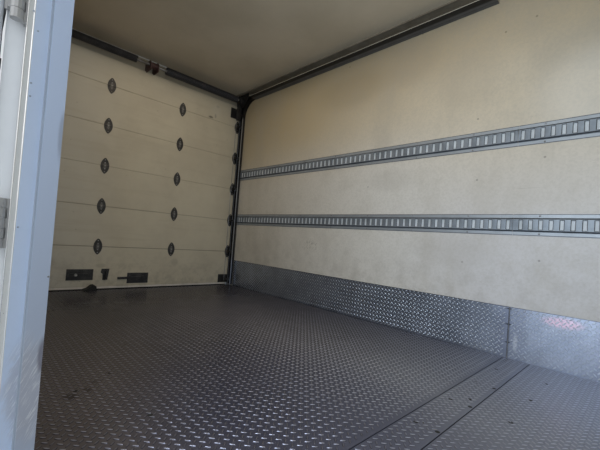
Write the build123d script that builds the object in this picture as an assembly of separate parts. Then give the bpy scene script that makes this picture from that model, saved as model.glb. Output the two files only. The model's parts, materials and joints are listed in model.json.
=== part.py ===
from build123d import *
import math
import os

# Cargo body of a box truck, off its chassis. Millimetres.
# +X points to the cab, +Y to the road side, +Z up. The origin lies on the underside of
# the long sills, half way between the rear frame and the front wall.

# Load space
INSIDE_LENGTH = 4267
INSIDE_WIDTH = 2280
INSIDE_HEIGHT = 2385
WALL = 65
FRONT_WALL = 60
ROOF = 40
ROOF_CROWN = 15

# Underfloor
SILL_HEIGHT = 100
SILL_WIDTH = 50
SILL_SPREAD = 864
SILL_METAL = 6
CROSS_HEIGHT = 76
CROSS_WIDTH = 59
CROSS_METAL = 6
CROSS_LENGTH = 2316
CROSS_COUNT = 15
DECK = 30
PLATE = 4
FLOOR = SILL_HEIGHT + CROSS_HEIGHT + DECK + PLATE
CEILING = FLOOR + INSIDE_HEIGHT
HALF_IN = INSIDE_WIDTH / 2
HALF_OUT = HALF_IN + WALL

# Rear frame and its places along X
REAR_DEPTH = 110
REAR_GAP = 30
POST_INNER = 1095
REAR_SILL_BOTTOM = 60
X_DOOR = -(INSIDE_LENGTH + FRONT_WALL - REAR_DEPTH) / 2
X_REAR = X_DOOR - REAR_DEPTH
X_WALL = X_DOOR - REAR_GAP
X_FRONT = X_DOOR + INSIDE_LENGTH
X_NOSE = X_FRONT + FRONT_WALL
HEADER_BOTTOM = FLOOR + 2195
ROOF_TOP = CEILING + ROOF

# Side rails of the shell
RAIL_METAL = 6
LEDGE = SILL_HEIGHT + CROSS_HEIGHT
BOTTOM_RAIL_TOP = 300
TOP_RAIL_DROP = 80
ROOF_FLANGE = 88
ROOF_FLANGE_METAL = 3
ROOF_FLANGE_LIP = 12
CORNER_RADIUS = 45

# Side door on the kerb side: the hole cut in the wall, measured from the roll-up door
CUT_REAR = 2665
CUT_FRONT = 3850
CUT_TOP = FLOOR + 2030
STOP_PROUD = 50
STOP_DEPTH = 34
REBATE_PROUD = 30
FRAME_LAP = 45
FRAME_FLANGE = 3
HINGE_LIP = 12
LIP_WIDE = 25
FRAME_TURN = 20
THRESHOLD_DROP = 10
LEAF_GAP = 8
LEAF_DEPTH = 34
LEAF_OUTER = 77
LEAF_EDGE = 45
LEAF_ROUND = 8
LEAF_SKIN_STEP = 3
PIN_X = X_DOOR + 2685
PIN_Y = -(HALF_IN + 99)
KNUCKLE_RADIUS = 13
KNUCKLE_COUNT = 5
KNUCKLE_FLATS = 12
KNUCKLE_GAP = 1
HINGE_HEIGHT = 115
HINGE_LEVELS = (155, 610, 1137, 1860)
SEAL = 4
SEAL_RIM = 16

# Roll-up door
PANEL_DEPTH = 20
PANEL_HALF = 1120
PANEL_GAP = 2
PANEL_BOTTOM = 26
PANEL_TOP = 2245
PANEL_JOINT = 414
PANEL_PITCH = 391
JOINT_COUNT = 5
HINGE_EDGE = 54
HINGE_PITCH = (INSIDE_WIDTH - 2 * HINGE_EDGE) / 3
LEAF_HIGH = 160
LEAF_WIDE = 76
LEAF_METAL = 3
LEAF_TRIM = 4

# Track of the roll-up door: a channel that opens inward
TRACK_AXIS = 55
TRACK_HIGH = 2322
TRACK_RADIUS = 230
TRACK_SECTION = 60
TRACK_WIDE = 45
TRACK_METAL = 3
TRACK_LIP = 9
TRACK_END = 2950
TRACK_CLEAR = 2
LEDGE_WIDE = 100
LEDGE_METAL = 4
LEDGE_LIP = 14
ROLLER_RADIUS = 23
ROLLER_WIDE = 14
STEM_RADIUS = 5.5
PLATE_METAL = 4

# Counterbalance shaft
SHAFT_X = X_DOOR + 95
SHAFT_Z = FLOOR + 2285
SHAFT_RADIUS = 14
SPRING_RADIUS = 45
DRUM_RADIUS = 50
DRUM_CORE = 46
DRUM_RIM = 56
DRUM_INNER = HALF_IN - 125
DRUM_WIDE = 40
DRUM_FLANGE = 6
BEARING_PLATE = (HALF_IN - 65, HALF_IN - 57)
CABLE_RADIUS = 2.5
CABLE_FOOT = FLOOR + 60

# Lining
KICK_HIGH = 312
KICK_METAL = 3
SHEET_JOINT = 3123
SHEET_GAP = 2
LOGISTIC_HIGH = 130
RAIL_JOINT = 3112
SLOT_PITCH = 50.8
SLOT_WIDE = 16
SLOT_HIGH = 54
LOGISTIC_START = 92
LOGISTIC_METAL = 2.5
LOGISTIC_PROUD = 12.5
LOGISTIC_FLANGE = 22
LOGISTIC_SLOPE = 10
JAMB_CLEAR = 25
# Each rail: its foot over the floor, and its slots next to the joint, behind it and before it
LOGISTIC_ROWS = ((754, 38, 5), (1308.5, 32, 38.7))

LOW = (Align.MIN, Align.MIN, Align.MIN)
ROD = (Align.CENTER, Align.CENTER, Align.MIN)


def block(x0, x1, y0, y1, z0, z1):
    """Box between two corners."""
    return Pos(x0, y0, z0) * Box(x1 - x0, y1 - y0, z1 - z0, align=LOW)


def along_x(points, x0, x1):
    """Closed outline of (y, z) points, drawn out from x0 to x1."""
    face = make_face(Plane.YZ.offset(x0) * Polyline(*points, close=True))
    return extrude(face, x1 - x0, dir=(1, 0, 0))


def along_y(points, y0, y1):
    """Closed outline of (x, z) points, drawn out from y0 to y1."""
    face = make_face(Plane.XZ.offset(-y1) * Polyline(*points, close=True))
    return extrude(face, y1 - y0, dir=(0, -1, 0))


def along_z(points, z0, z1):
    """Closed outline of (x, y) points, drawn out from z0 to z1."""
    face = make_face(Plane.XY.offset(z0) * Polyline(*points, close=True))
    return extrude(face, z1 - z0, dir=(0, 0, 1))


def rod_y(x, z, radius, y0, y1):
    """Round bar across the body."""
    return Pos(x, (y0 + y1) / 2, z) * Rot(90, 0, 0) * Cylinder(radius, y1 - y0)


def rod_z(x, y, radius, z0, z1):
    """Upright round bar."""
    return Pos(x, y, (z0 + z1) / 2) * Cylinder(radius, z1 - z0)


def flats_y(x, z, radius, y0, y1, count):
    """Bar across the body with flats in place of a round, for small pieces that repeat."""
    face = make_face(Plane.XZ.offset(-y1) * Pos(x, z) * RegularPolygon(radius, count))
    return extrude(face, y1 - y0, dir=(0, -1, 0))


def both_sides(shape):
    """A shape on the road side and its mirror image on the kerb side."""
    return Compound([shape, mirror(shape, Plane.XZ)])


# Underfloor


def long_sills():
    outer = SILL_SPREAD / 2
    inner = outer - SILL_WIDTH
    web = outer - SILL_METAL
    outline = [
        (outer, 0), (outer, SILL_HEIGHT), (inner, SILL_HEIGHT), (inner, SILL_HEIGHT - SILL_METAL),
        (web, SILL_HEIGHT - SILL_METAL), (web, SILL_METAL), (inner, SILL_METAL), (inner, 0),
    ]
    return both_sides(along_x(outline, X_WALL, X_FRONT))


BRACKET_X = 1500
BRACKET_HALF = 60
BRACKET_FOOT = 85
BRACKET_METAL = 8
BRACKET_LOW = 10
BRACKET_TOP = 80
BRACKET_OUT = 45
BRACKET_HOLE = 8.5


def chassis_brackets():
    """Four angle brackets on the sills, each with one bolt hole down through its foot."""
    face = SILL_SPREAD / 2
    foot_top = BRACKET_LOW + BRACKET_METAL
    brackets = []
    for x in (-BRACKET_X, BRACKET_X):
        x0, x1 = x - BRACKET_HALF, x + BRACKET_HALF
        foot = block(x0, x1, face, face + BRACKET_FOOT, BRACKET_LOW, foot_top)
        leg = block(x0, x1, face, face + BRACKET_METAL, foot_top, BRACKET_TOP)
        hole = rod_z(x, face + BRACKET_OUT, BRACKET_HOLE, BRACKET_LOW - 1, foot_top + 1)
        brackets.append(foot + leg - hole)
    return Compound([side for bracket in brackets for side in both_sides(bracket).solids()])


def cross_members():
    half, web = CROSS_WIDTH / 2, CROSS_METAL / 2
    low, high = SILL_HEIGHT, SILL_HEIGHT + CROSS_HEIGHT
    outline = [
        (-half, low), (half, low), (half, low + CROSS_METAL), (web, low + CROSS_METAL),
        (web, high - CROSS_METAL), (half, high - CROSS_METAL), (half, high), (-half, high),
        (-half, high - CROSS_METAL), (-web, high - CROSS_METAL), (-web, low + CROSS_METAL),
        (-half, low + CROSS_METAL),
    ]
    beam = along_y(outline, -CROSS_LENGTH / 2, CROSS_LENGTH / 2)
    first, last = X_WALL + half + 5, X_NOSE - half - 5
    pitch = (last - first) / (CROSS_COUNT - 1)
    return Compound([Pos(first + pitch * i, 0, 0) * beam for i in range(CROSS_COUNT)])


def floor_deck():
    return block(X_WALL, X_FRONT, -HALF_IN, HALF_IN, LEDGE, LEDGE + DECK)


# Floor sheets, from the roll-up door: start, end
FLOOR_SHEETS = ((-REAR_GAP, 3103), (3107, 3243), (3247, INSIDE_LENGTH))


def floor_plates():
    low = FLOOR - PLATE
    return Compound([block(X_DOOR + a, X_DOOR + b, -HALF_IN, HALF_IN, low, FLOOR) for a, b in FLOOR_SHEETS])


# Shell


SHELF = 45
RUB_PROUD = 6
RUB_SPAN = (36, 86, 100)


def bottom_rails():
    """Extruded rail that carries the wall's foot, with a rub strip along its outside."""
    out = HALF_OUT + RAIL_METAL
    rub = out + RUB_PROUD
    low = SILL_HEIGHT + 4
    shelf = HALF_OUT - SHELF
    start, end, root = (low + z for z in RUB_SPAN)
    outline = [
        (out, BOTTOM_RAIL_TOP), (HALF_OUT, BOTTOM_RAIL_TOP), (HALF_OUT, LEDGE + RAIL_METAL),
        (HALF_IN, LEDGE + RAIL_METAL), (HALF_IN, LEDGE), (HALF_OUT - RAIL_METAL, LEDGE),
        (HALF_OUT - RAIL_METAL, low + RAIL_METAL), (shelf, low + RAIL_METAL), (shelf, low),
        (HALF_OUT, low), (rub, start), (rub, end), (out, root),
    ]
    rail = along_x(outline, X_WALL, X_NOSE)
    doorway = block(X_DOOR + CUT_REAR + REBATE_PROUD, X_DOOR + CUT_FRONT - REBATE_PROUD, -out - 10, -HALF_OUT,
                    FLOOR - THRESHOLD_DROP - 2, BOTTOM_RAIL_TOP + 1)
    return Compound([rail, mirror(rail, Plane.XZ) - doorway])


def top_rails():
    """Extruded cove rail: a round outer corner, a leg down over the wall's skin, and a flange
    with a turned-down edge under the roof skin."""
    out = HALF_OUT + RAIL_METAL
    corner = CORNER_RADIUS
    turn = (out - corner * (1 - math.sqrt(0.5)), ROOF_TOP - corner * (1 - math.sqrt(0.5)))
    base = Plane.YZ.offset(X_WALL)
    edge = [
        Line((HALF_IN, CEILING), (HALF_OUT, CEILING)),
        Line((HALF_OUT, CEILING), (HALF_OUT, CEILING - TOP_RAIL_DROP)),
        Line((HALF_OUT, CEILING - TOP_RAIL_DROP), (out, CEILING - TOP_RAIL_DROP)),
        Line((out, CEILING - TOP_RAIL_DROP), (out, ROOF_TOP - corner)),
        ThreePointArc((out, ROOF_TOP - corner), turn, (out - corner, ROOF_TOP)),
        Line((out - corner, ROOF_TOP), (HALF_IN, ROOF_TOP)),
        Line((HALF_IN, ROOF_TOP), (HALF_IN, CEILING)),
    ]
    cove = extrude(make_face(base * Wire(edge)), X_NOSE - X_WALL, dir=(1, 0, 0))
    inner = HALF_IN - ROOF_FLANGE
    under = CEILING - ROOF_FLANGE_METAL
    flange = along_x([
        (HALF_IN, CEILING), (inner, CEILING), (inner, CEILING - ROOF_FLANGE_LIP),
        (inner + ROOF_FLANGE_METAL, CEILING - ROOF_FLANGE_LIP), (inner + ROOF_FLANGE_METAL, under),
        (HALF_IN, under),
    ], X_WALL, X_FRONT)
    return Compound([side for piece in (cove, flange) for side in both_sides(piece).solids()])


def roof_panel():
    base = Plane.YZ.offset(X_WALL)
    edge = [
        Line((-HALF_IN, CEILING), (HALF_IN, CEILING)),
        Line((HALF_IN, CEILING), (HALF_IN, ROOF_TOP)),
        ThreePointArc((HALF_IN, ROOF_TOP), (0, ROOF_TOP + ROOF_CROWN), (-HALF_IN, ROOF_TOP)),
        Line((-HALF_IN, ROOF_TOP), (-HALF_IN, CEILING)),
    ]
    return extrude(make_face(base * Wire(edge)), X_NOSE - X_WALL, dir=(1, 0, 0))


def road_side_wall():
    return block(X_WALL, X_FRONT, HALF_IN, HALF_OUT, LEDGE + RAIL_METAL, CEILING)


def kerb_wall_rear():
    return block(X_WALL, X_DOOR + CUT_REAR, -HALF_OUT, -HALF_IN, LEDGE + RAIL_METAL, CEILING)


def kerb_wall_front():
    return block(X_DOOR + CUT_FRONT, X_FRONT, -HALF_OUT, -HALF_IN, LEDGE + RAIL_METAL, CEILING)


def kerb_wall_over_door():
    return block(X_DOOR + CUT_REAR, X_DOOR + CUT_FRONT, -HALF_OUT, -HALF_IN, CUT_TOP, CEILING)


def front_wall():
    return block(X_FRONT, X_NOSE, -HALF_IN, HALF_IN, LEDGE + RAIL_METAL, CEILING)


def front_corner_posts():
    post = block(X_FRONT, X_NOSE, HALF_IN, HALF_OUT, LEDGE + RAIL_METAL, CEILING)
    outer = post.edges().filter_by(Axis.Z).sort_by(lambda edge: edge.center().X + edge.center().Y)[-1]
    return both_sides(fillet(outer, CORNER_RADIUS))


# Rear frame
POST_ROUND = 20
RAIN_STEP = (35, 18)
CAP_BEVEL = (30, 25)
SILL_ROUND = 12


def rear_posts():
    post = block(X_REAR, X_WALL, POST_INNER, HALF_OUT + RAIL_METAL, FLOOR, CEILING)
    corner = post.edges().filter_by(Axis.Z).sort_by(lambda edge: edge.center().Y - edge.center().X)[-1]
    post = fillet(corner, POST_ROUND)
    deep, wide = RAIN_STEP
    rain_step = block(X_REAR, X_REAR + deep, POST_INNER, POST_INNER + wide, FLOOR, HEADER_BOTTOM)
    return both_sides(post - rain_step)


def rear_header():
    outer = HALF_OUT + RAIL_METAL
    deep, high = CAP_BEVEL
    lintel = block(X_REAR, X_WALL, -POST_INNER, POST_INNER, HEADER_BOTTOM, CEILING)
    cap = along_y([
        (X_REAR, CEILING), (X_WALL, CEILING), (X_WALL, ROOF_TOP), (X_REAR + deep, ROOF_TOP),
        (X_REAR, ROOF_TOP - high),
    ], -outer, outer)
    return lintel + cap


def rear_sill():
    outer = HALF_OUT + RAIL_METAL
    beam = block(X_REAR, X_WALL, -outer, outer, REAR_SILL_BOTTOM, FLOOR)
    nose = beam.edges().filter_by(Axis.Y).sort_by(lambda edge: edge.center().X - edge.center().Z)[:1]
    return fillet(nose, SILL_ROUND)


# Lamps: half width, half height and depth, and their places
MAIN_LAMP = (80, 40, 14)
MAIN_LAMP_Y = (780, 1000)
MAIN_LAMP_Z = 135
SMALL_LAMP = (35, 14, 12)
SMALL_LAMP_Z = CEILING - 60
REAR_SMALL_Y = (-1150, -150, 0, 150, 1150)
FRONT_SMALL_Y = 1080


def lamp(x, y, z, size, way):
    """Lens with sloping ends on a face at x, proud of it to the rear (-1) or the front (1)."""
    half_wide, half_high, depth = size
    face = x + way * depth
    outline = [
        (x, y - half_wide), (x, y + half_wide), (face, y + half_wide - depth), (face, y - half_wide + depth),
    ]
    return along_z(outline, z - half_high, z + half_high)


def rear_lamps():
    """Stop, tail and turn lamps on the rear sill, and five small ones over the door."""
    places = [side * y for y in MAIN_LAMP_Y for side in (-1, 1)]
    main = [lamp(X_REAR, y, MAIN_LAMP_Z, MAIN_LAMP, -1) for y in places]
    small = [lamp(X_REAR, y, SMALL_LAMP_Z, SMALL_LAMP, -1) for y in REAR_SMALL_Y]
    return Compound(main + small)


def front_lamps():
    """Two small lamps at the top corners of the front wall."""
    return Compound([lamp(X_NOSE, y, SMALL_LAMP_Z, SMALL_LAMP, 1) for y in (-FRONT_SMALL_Y, FRONT_SMALL_Y)])


BUMPER_DEPTH = 60
BUMPER_SPAN = (1080, 1180)
BUMPER_HIGH = 130
BUMPER_ROUND = 15


def dock_bumpers():
    low, high = REAR_SILL_BOTTOM, REAR_SILL_BOTTOM + BUMPER_HIGH
    bumper = block(X_REAR - BUMPER_DEPTH, X_REAR, *BUMPER_SPAN, low, high)
    bumper = fillet(bumper.edges().filter_by(Axis.Y).group_by(Axis.X)[0], BUMPER_ROUND)
    return both_sides(bumper)


# Lining


def kick_plates():
    """Plates round the foot of the walls: two on the road side, two on the kerb side, one in front."""
    low, high = FLOOR, FLOOR + KICK_HIGH
    inner = HALF_IN - KICK_METAL
    road = ((LOGISTIC_START, SHEET_JOINT - SHEET_GAP / 2), (SHEET_JOINT + SHEET_GAP / 2, INSIDE_LENGTH))
    kerb = ((LOGISTIC_START, CUT_REAR - JAMB_CLEAR), (CUT_FRONT + JAMB_CLEAR, INSIDE_LENGTH))
    plates = [block(X_DOOR + a, X_DOOR + b, inner, HALF_IN, low, high) for a, b in road]
    plates += [block(X_DOOR + a, X_DOOR + b, -HALF_IN, -inner, low, high) for a, b in kerb]
    plates.append(block(X_FRONT - KICK_METAL, X_FRONT, 1 - inner, inner - 1, low, high))
    return Compound(plates)


def slot_places(nearest, end):
    """Slot centres from the one next to the joint to a rail's far end."""
    count = math.floor((abs(end - nearest) - SLOT_WIDE) / SLOT_PITCH) + 1
    step = math.copysign(SLOT_PITCH, end - nearest)
    return [nearest + step * i for i in range(count)]


def logistic_rail(start, end, level, places):
    """Slotted tie-down rail on the road side wall, with a raised middle band."""
    metal, proud, flange = LOGISTIC_METAL, LOGISTIC_PROUD, LOGISTIC_FLANGE
    band_low, band_high = flange + LOGISTIC_SLOPE, LOGISTIC_HIGH - flange - LOGISTIC_SLOPE
    slant = metal * math.tan(math.radians(30))
    outline = [
        (metal, 0), (metal, flange), (proud, band_low), (proud, band_high),
        (metal, LOGISTIC_HIGH - flange), (metal, LOGISTIC_HIGH), (0, LOGISTIC_HIGH),
        (0, LOGISTIC_HIGH - flange - slant), (proud - metal, band_high - slant),
        (proud - metal, band_low + slant), (0, flange + slant), (0, 0),
    ]
    points = [(HALF_IN - n, FLOOR + level + z) for n, z in outline]
    rail = along_x(points, X_DOOR + start, X_DOOR + end)
    middle = FLOOR + level + LOGISTIC_HIGH / 2
    low, high = middle - SLOT_HIGH / 2, middle + SLOT_HIGH / 2
    deep = HALF_IN - proud - 1, HALF_IN - metal - 1
    slots = []
    for place in places:
        x = X_DOOR + place
        slots.append(block(x - SLOT_WIDE / 2, x + SLOT_WIDE / 2, *deep, low, high))
    return rail - slots


def logistic_rails_road():
    behind, before = RAIL_JOINT - SHEET_GAP / 2, RAIL_JOINT + SHEET_GAP / 2
    rails = []
    for level, lag, lead in LOGISTIC_ROWS:
        places = slot_places(RAIL_JOINT - lag, LOGISTIC_START)
        rails.append(logistic_rail(LOGISTIC_START, behind, level, places))
        places = slot_places(RAIL_JOINT + lead, INSIDE_LENGTH)
        rails.append(logistic_rail(before, INSIDE_LENGTH - 1, level, places))
    return Compound(rails)


def logistic_rails_kerb():
    end = CUT_REAR - JAMB_CLEAR
    rails = []
    for level, lag, _ in LOGISTIC_ROWS:
        places = [x for x in slot_places(RAIL_JOINT - lag, LOGISTIC_START) if x < end - SLOT_WIDE]
        rails.append(mirror(logistic_rail(LOGISTIC_START, end, level, places), Plane.XZ))
    return Compound(rails)


# Roll-up door


def joint_levels():
    return [PANEL_JOINT + PANEL_PITCH * i for i in range(JOINT_COUNT)]


def rear_door_panels():
    """Six boards, each with its inner long edges eased, so that every joint shows as a groove."""
    levels = [PANEL_BOTTOM] + joint_levels() + [PANEL_TOP]
    ease, half_gap = 3, PANEL_GAP / 2
    boards = []
    for low, high in zip(levels, levels[1:]):
        bottom = FLOOR + low + half_gap
        top = FLOOR + high - half_gap
        outline = [
            (X_DOOR - PANEL_DEPTH, bottom), (X_DOOR - ease, bottom), (X_DOOR, bottom + ease),
            (X_DOOR, top - ease), (X_DOOR - ease, top), (X_DOOR - PANEL_DEPTH, top),
        ]
        boards.append(along_y(outline, -PANEL_HALF, PANEL_HALF))
    return Compound(boards)


def hinge_columns():
    return [HALF_IN - HINGE_EDGE - HINGE_PITCH * i for i in range(4)]


# Rib under a hinge's pin, and the cheek that carries a roller, as (distance from the board, height) points
HINGE_RIB = ((1, -9), (1, 9), (8, 5), (8, -5))
RIB_HALF = 30
CARRIER_CHEEK = ((0, -28), (0, 28), (49, 11), (64, 8), (64, -8), (49, -11))
CHEEK_HALF = 2
CARRIER_WIDE = 30
TUBE_WALL = 3
TUBE_FLATS = 8


def hinge_leaf():
    """Leaf-shaped hinge plate of two arcs, its pin across the middle, centred at the origin."""
    radius = (LEAF_HIGH ** 2 + LEAF_WIDE ** 2) / (4 * LEAF_WIDE)
    offset = radius - LEAF_WIDE / 2
    disc = Rot(0, 90, 0) * Cylinder(radius, LEAF_METAL)
    plate = (Pos(LEAF_METAL / 2, offset, 0) * disc) & (Pos(LEAF_METAL / 2, -offset, 0) * disc)
    tip = LEAF_HIGH / 2 - LEAF_TRIM
    trim = block(-1, LEAF_METAL + 1, -LEAF_WIDE, LEAF_WIDE, -tip, tip)
    rib = along_y(HINGE_RIB, -RIB_HALF, RIB_HALF)
    return (plate & trim) + rib


def roller_carrier():
    """Two cheeks and a tube that hold a roller's stem off the door."""
    cheek = along_y(CARRIER_CHEEK, -CHEEK_HALF, CHEEK_HALF)
    far = CHEEK_HALF - CARRIER_WIDE
    tube = flats_y(TRACK_AXIS, 0, STEM_RADIUS + TUBE_WALL, -CARRIER_WIDE, 2 * CHEEK_HALF, TUBE_FLATS)
    return (Pos(0, far, 0) * cheek) + (Pos(0, -CHEEK_HALF, 0) * cheek) + tube


def door_hinges_middle():
    leaf = hinge_leaf()
    return Compound([
        Pos(X_DOOR, y, FLOOR + z) * leaf for y in hinge_columns()[1:3] for z in joint_levels()
    ])


def door_hinges_edge():
    hinge = hinge_leaf() + roller_carrier()
    pieces = []
    for z in joint_levels():
        pieces += both_sides(Pos(X_DOOR, hinge_columns()[0], FLOOR + z) * hinge).solids()
    return Compound(pieces)


ROLLER_Y = HALF_IN - 24
STEM_END = HALF_IN - HINGE_EDGE + 4
BRACKET_CHEEK = HALF_IN - 86
ROLLER_FLATS = 18


def door_roller(x, z, stem_end):
    """Wheel in the road side track, with its stem out of the piece that carries it."""
    wheel = flats_y(x, z, ROLLER_RADIUS, ROLLER_Y - ROLLER_WIDE / 2, ROLLER_Y + ROLLER_WIDE / 2, ROLLER_FLATS)
    return wheel + flats_y(x, z, STEM_RADIUS, stem_end, ROLLER_Y, TUBE_FLATS)


BOTTOM_ROLLER = 75
TOP_ROLLER = 2130
TOP_ROLLER_X = TRACK_AXIS + TRACK_RADIUS - math.sqrt(
    TRACK_RADIUS ** 2 - (TOP_ROLLER - TRACK_HIGH + TRACK_RADIUS) ** 2
)


def door_rollers():
    """Rollers at each joint, carried by the hinges, and at the top and bottom by brackets."""
    places = [(TRACK_AXIS, z, STEM_END) for z in joint_levels()]
    places += [(TRACK_AXIS, BOTTOM_ROLLER, BRACKET_CHEEK), (TOP_ROLLER_X, TOP_ROLLER, BRACKET_CHEEK)]
    pieces = []
    for x, z, stem_end in places:
        pieces += both_sides(door_roller(X_DOOR + x, FLOOR + z, stem_end)).solids()
    return Compound(pieces)


def track_section(y_wall):
    """Channel across the path: (distance from the axis, y) points, opening toward the middle."""
    half, metal = TRACK_SECTION / 2, TRACK_METAL
    mouth = y_wall - TRACK_WIDE
    lip = half - TRACK_LIP
    return [
        (-half, y_wall), (half, y_wall), (half, mouth), (lip, mouth), (lip, mouth + metal),
        (half - metal, mouth + metal), (half - metal, y_wall - metal), (metal - half, y_wall - metal),
        (metal - half, mouth + metal), (-lip, mouth + metal), (-lip, mouth), (-half, mouth),
    ]


def door_tracks():
    """Up the rear post, round a quarter bend and forward under the roof."""
    y_wall = HALF_IN - TRACK_CLEAR
    section = track_section(y_wall)
    x_axis = X_DOOR + TRACK_AXIS
    z_axis = FLOOR + TRACK_HIGH
    z_turn = z_axis - TRACK_RADIUS
    x_turn = x_axis + TRACK_RADIUS
    upright = along_z([(x_axis + a, y) for a, y in section], FLOOR + 12, z_turn)
    start = make_face(Plane.XY.offset(z_turn) * Polyline(*[(x_axis + a, y) for a, y in section], close=True))
    bend = revolve(start, Axis((x_turn, 0, z_turn), (0, 1, 0)), 90)
    level = along_x([(y, z_axis - a) for a, y in section], x_turn, X_DOOR + TRACK_END)
    return both_sides(upright + bend + level)


def track_ledges():
    """Angle along each wall that carries the level track, its inner edge turned up."""
    high = FLOOR + TRACK_HIGH - TRACK_SECTION / 2
    low = high - LEDGE_METAL
    inner = HALF_IN - LEDGE_WIDE
    outline = [
        (HALF_IN, low), (HALF_IN, high), (inner + LEDGE_METAL, high), (inner + LEDGE_METAL, low + LEDGE_LIP),
        (inner, low + LEDGE_LIP), (inner, low),
    ]
    return both_sides(along_x(outline, X_DOOR + TRACK_AXIS + TRACK_RADIUS, X_DOOR + TRACK_END))


# Plates of the corner brackets: how far in from the wall, and the heights of foot and head
BOTTOM_BRACKET = (160, 30, 128)
TOP_BRACKET = (163, TOP_ROLLER - 50, TOP_ROLLER + 76)
BRACKET_EDGE = 22
CHEEK_METAL = 6
CHEEK_ROOT = 30
CHEEK_TIP = 13


def roller_bracket(x, z, plate):
    """Plate on the door with a cheek that reaches out to the end of a roller's stem."""
    inner, low, high = plate
    front = X_DOOR + PLATE_METAL
    piece = block(X_DOOR, front, HALF_IN - inner, HALF_IN - BRACKET_EDGE, FLOOR + low, FLOOR + high)
    tip = X_DOOR + x + CHEEK_TIP - 1
    piece += along_y([
        (front, FLOOR + z - CHEEK_ROOT), (front, FLOOR + z + CHEEK_ROOT),
        (tip, FLOOR + z + CHEEK_TIP), (tip, FLOOR + z - CHEEK_TIP),
    ], BRACKET_CHEEK - CHEEK_METAL, BRACKET_CHEEK)
    return piece


def roller_brackets():
    """Brackets at the door's four corners, for its lowest and its highest rollers."""
    bottom = roller_bracket(TRACK_AXIS, BOTTOM_ROLLER, BOTTOM_BRACKET)
    top = roller_bracket(TOP_ROLLER_X, TOP_ROLLER, TOP_BRACKET)
    return Compound([side for piece in (bottom, top) for side in both_sides(piece).solids()])


# Counterbalance


def spring_shaft():
    end = BEARING_PLATE[1] + 1
    return rod_y(SHAFT_X, SHAFT_Z, SHAFT_RADIUS, -end, end)


# Springs on the shaft: y from, y to
SPRINGS = ((106, 1000), (-1000, -179))


def door_springs():
    """Two wound springs, shown by their outside."""
    pieces = []
    for y0, y1 in SPRINGS:
        coil = rod_y(SHAFT_X, SHAFT_Z, SPRING_RADIUS, y0, y1)
        pieces.append(coil - rod_y(SHAFT_X, SHAFT_Z, SHAFT_RADIUS, y0 - 1, y1 + 1))
    return Compound(pieces)


def cable_drums():
    """Drums at the shaft's ends, their flanges outward."""
    rim, end = DRUM_INNER + DRUM_WIDE, DRUM_INNER + DRUM_WIDE + DRUM_FLANGE
    drum = rod_y(SHAFT_X, SHAFT_Z, DRUM_CORE, DRUM_INNER, rim)
    drum += rod_y(SHAFT_X, SHAFT_Z, DRUM_RIM, rim, end)
    return both_sides(drum - rod_y(SHAFT_X, SHAFT_Z, SHAFT_RADIUS, DRUM_INNER - 1, end + 1))


# Nose of each kind of bearing plate, as (x, z) points from the shaft's axis, and its foot and head
END_NOSE = ((110, 82), (110, 30), (60, -40), (20, -70))
END_SPAN = (-75, 82)
MIDDLE_NOSE = ((10, 40), (38, 12), (38, -50), (20, -60))
MIDDLE_SPAN = (-55, 45)
MIDDLE_CHEEKS = ((-62, -54), (12, 20))
MIDDLE_BOSS = 16
BOARD_CLEAR = 5


def bearing_outline(nose, span):
    """Outline that stands on the rear frame and steps over the highest board."""
    board, step = X_DOOR + BOARD_CLEAR, FLOOR + PANEL_TOP + BOARD_CLEAR
    low, high = SHAFT_Z + span[0], SHAFT_Z + span[1]
    front = [(SHAFT_X + x, SHAFT_Z + z) for x, z in nose]
    return [(board, step), (X_WALL, step), (X_WALL, high), *front, (board, low)]


def shaft_brackets():
    """Bearing plates: a tall one at each end, and two cheeks and a bearing in the middle."""
    hole = rod_y(SHAFT_X, SHAFT_Z, SHAFT_RADIUS, -HALF_IN, HALF_IN)
    ends = both_sides(along_y(bearing_outline(END_NOSE, END_SPAN), *BEARING_PLATE) - hole).solids()
    middle = rod_y(SHAFT_X, SHAFT_Z, SHAFT_RADIUS + MIDDLE_BOSS, MIDDLE_CHEEKS[0][0], MIDDLE_CHEEKS[1][1])
    for y0, y1 in MIDDLE_CHEEKS:
        middle += along_y(bearing_outline(MIDDLE_NOSE, MIDDLE_SPAN), y0, y1)
    return Compound([*ends, middle - hole])


def lift_cables():
    """Taut cables from the drums down to the lowest board's corners."""
    y = DRUM_INNER + DRUM_WIDE / 2 + 3
    foot = Pos(SHAFT_X - DRUM_RADIUS, y, CABLE_FOOT) * RegularPolygon(CABLE_RADIUS, 6)
    return both_sides(extrude(foot, SHAFT_Z - CABLE_FOOT, dir=(0, 0, 1)))


# Fittings at the foot of the roll-up door


# Flat pieces on the lowest board: y low, y high, z low and z high over the floor, proud of the board
LATCH_PLATE = (-600, -382, 93, 196, 4)
LATCH_SLIDE = (-586, -430, 130, 156, 16)
LATCH_KNOB = (-527, 143)
KNOB_RADIUS = 11
KNOB_DEEP = 16
# The handle's base, as (y, height) points
HANDLE_BASE = ((-312, 200), (-244, 200), (-256, 92), (-298, 92), (-300, 150), (-318, 164))
HANDLE_METAL = 6
HANDLE_FOOT = (-278, 104)
HANDLE_HEAD = (-268, 188)
HANDLE_OUT = 34
GRIP_RADIUS = 9
ARM_HALF = 8
BOLT_PLATE = (-74, 134, 52, 158, 5)
BOLT_BAR = (-164, 60, 96, 118, 17)
BOLT_GUIDES = ((-60, -44, 88, 126, 24), (70, 86, 88, 126, 24))


def on_board(y0, y1, z0, z1, proud):
    return block(X_DOOR, X_DOOR + proud, y0, y1, FLOOR + z0, FLOOR + z1)


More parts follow.
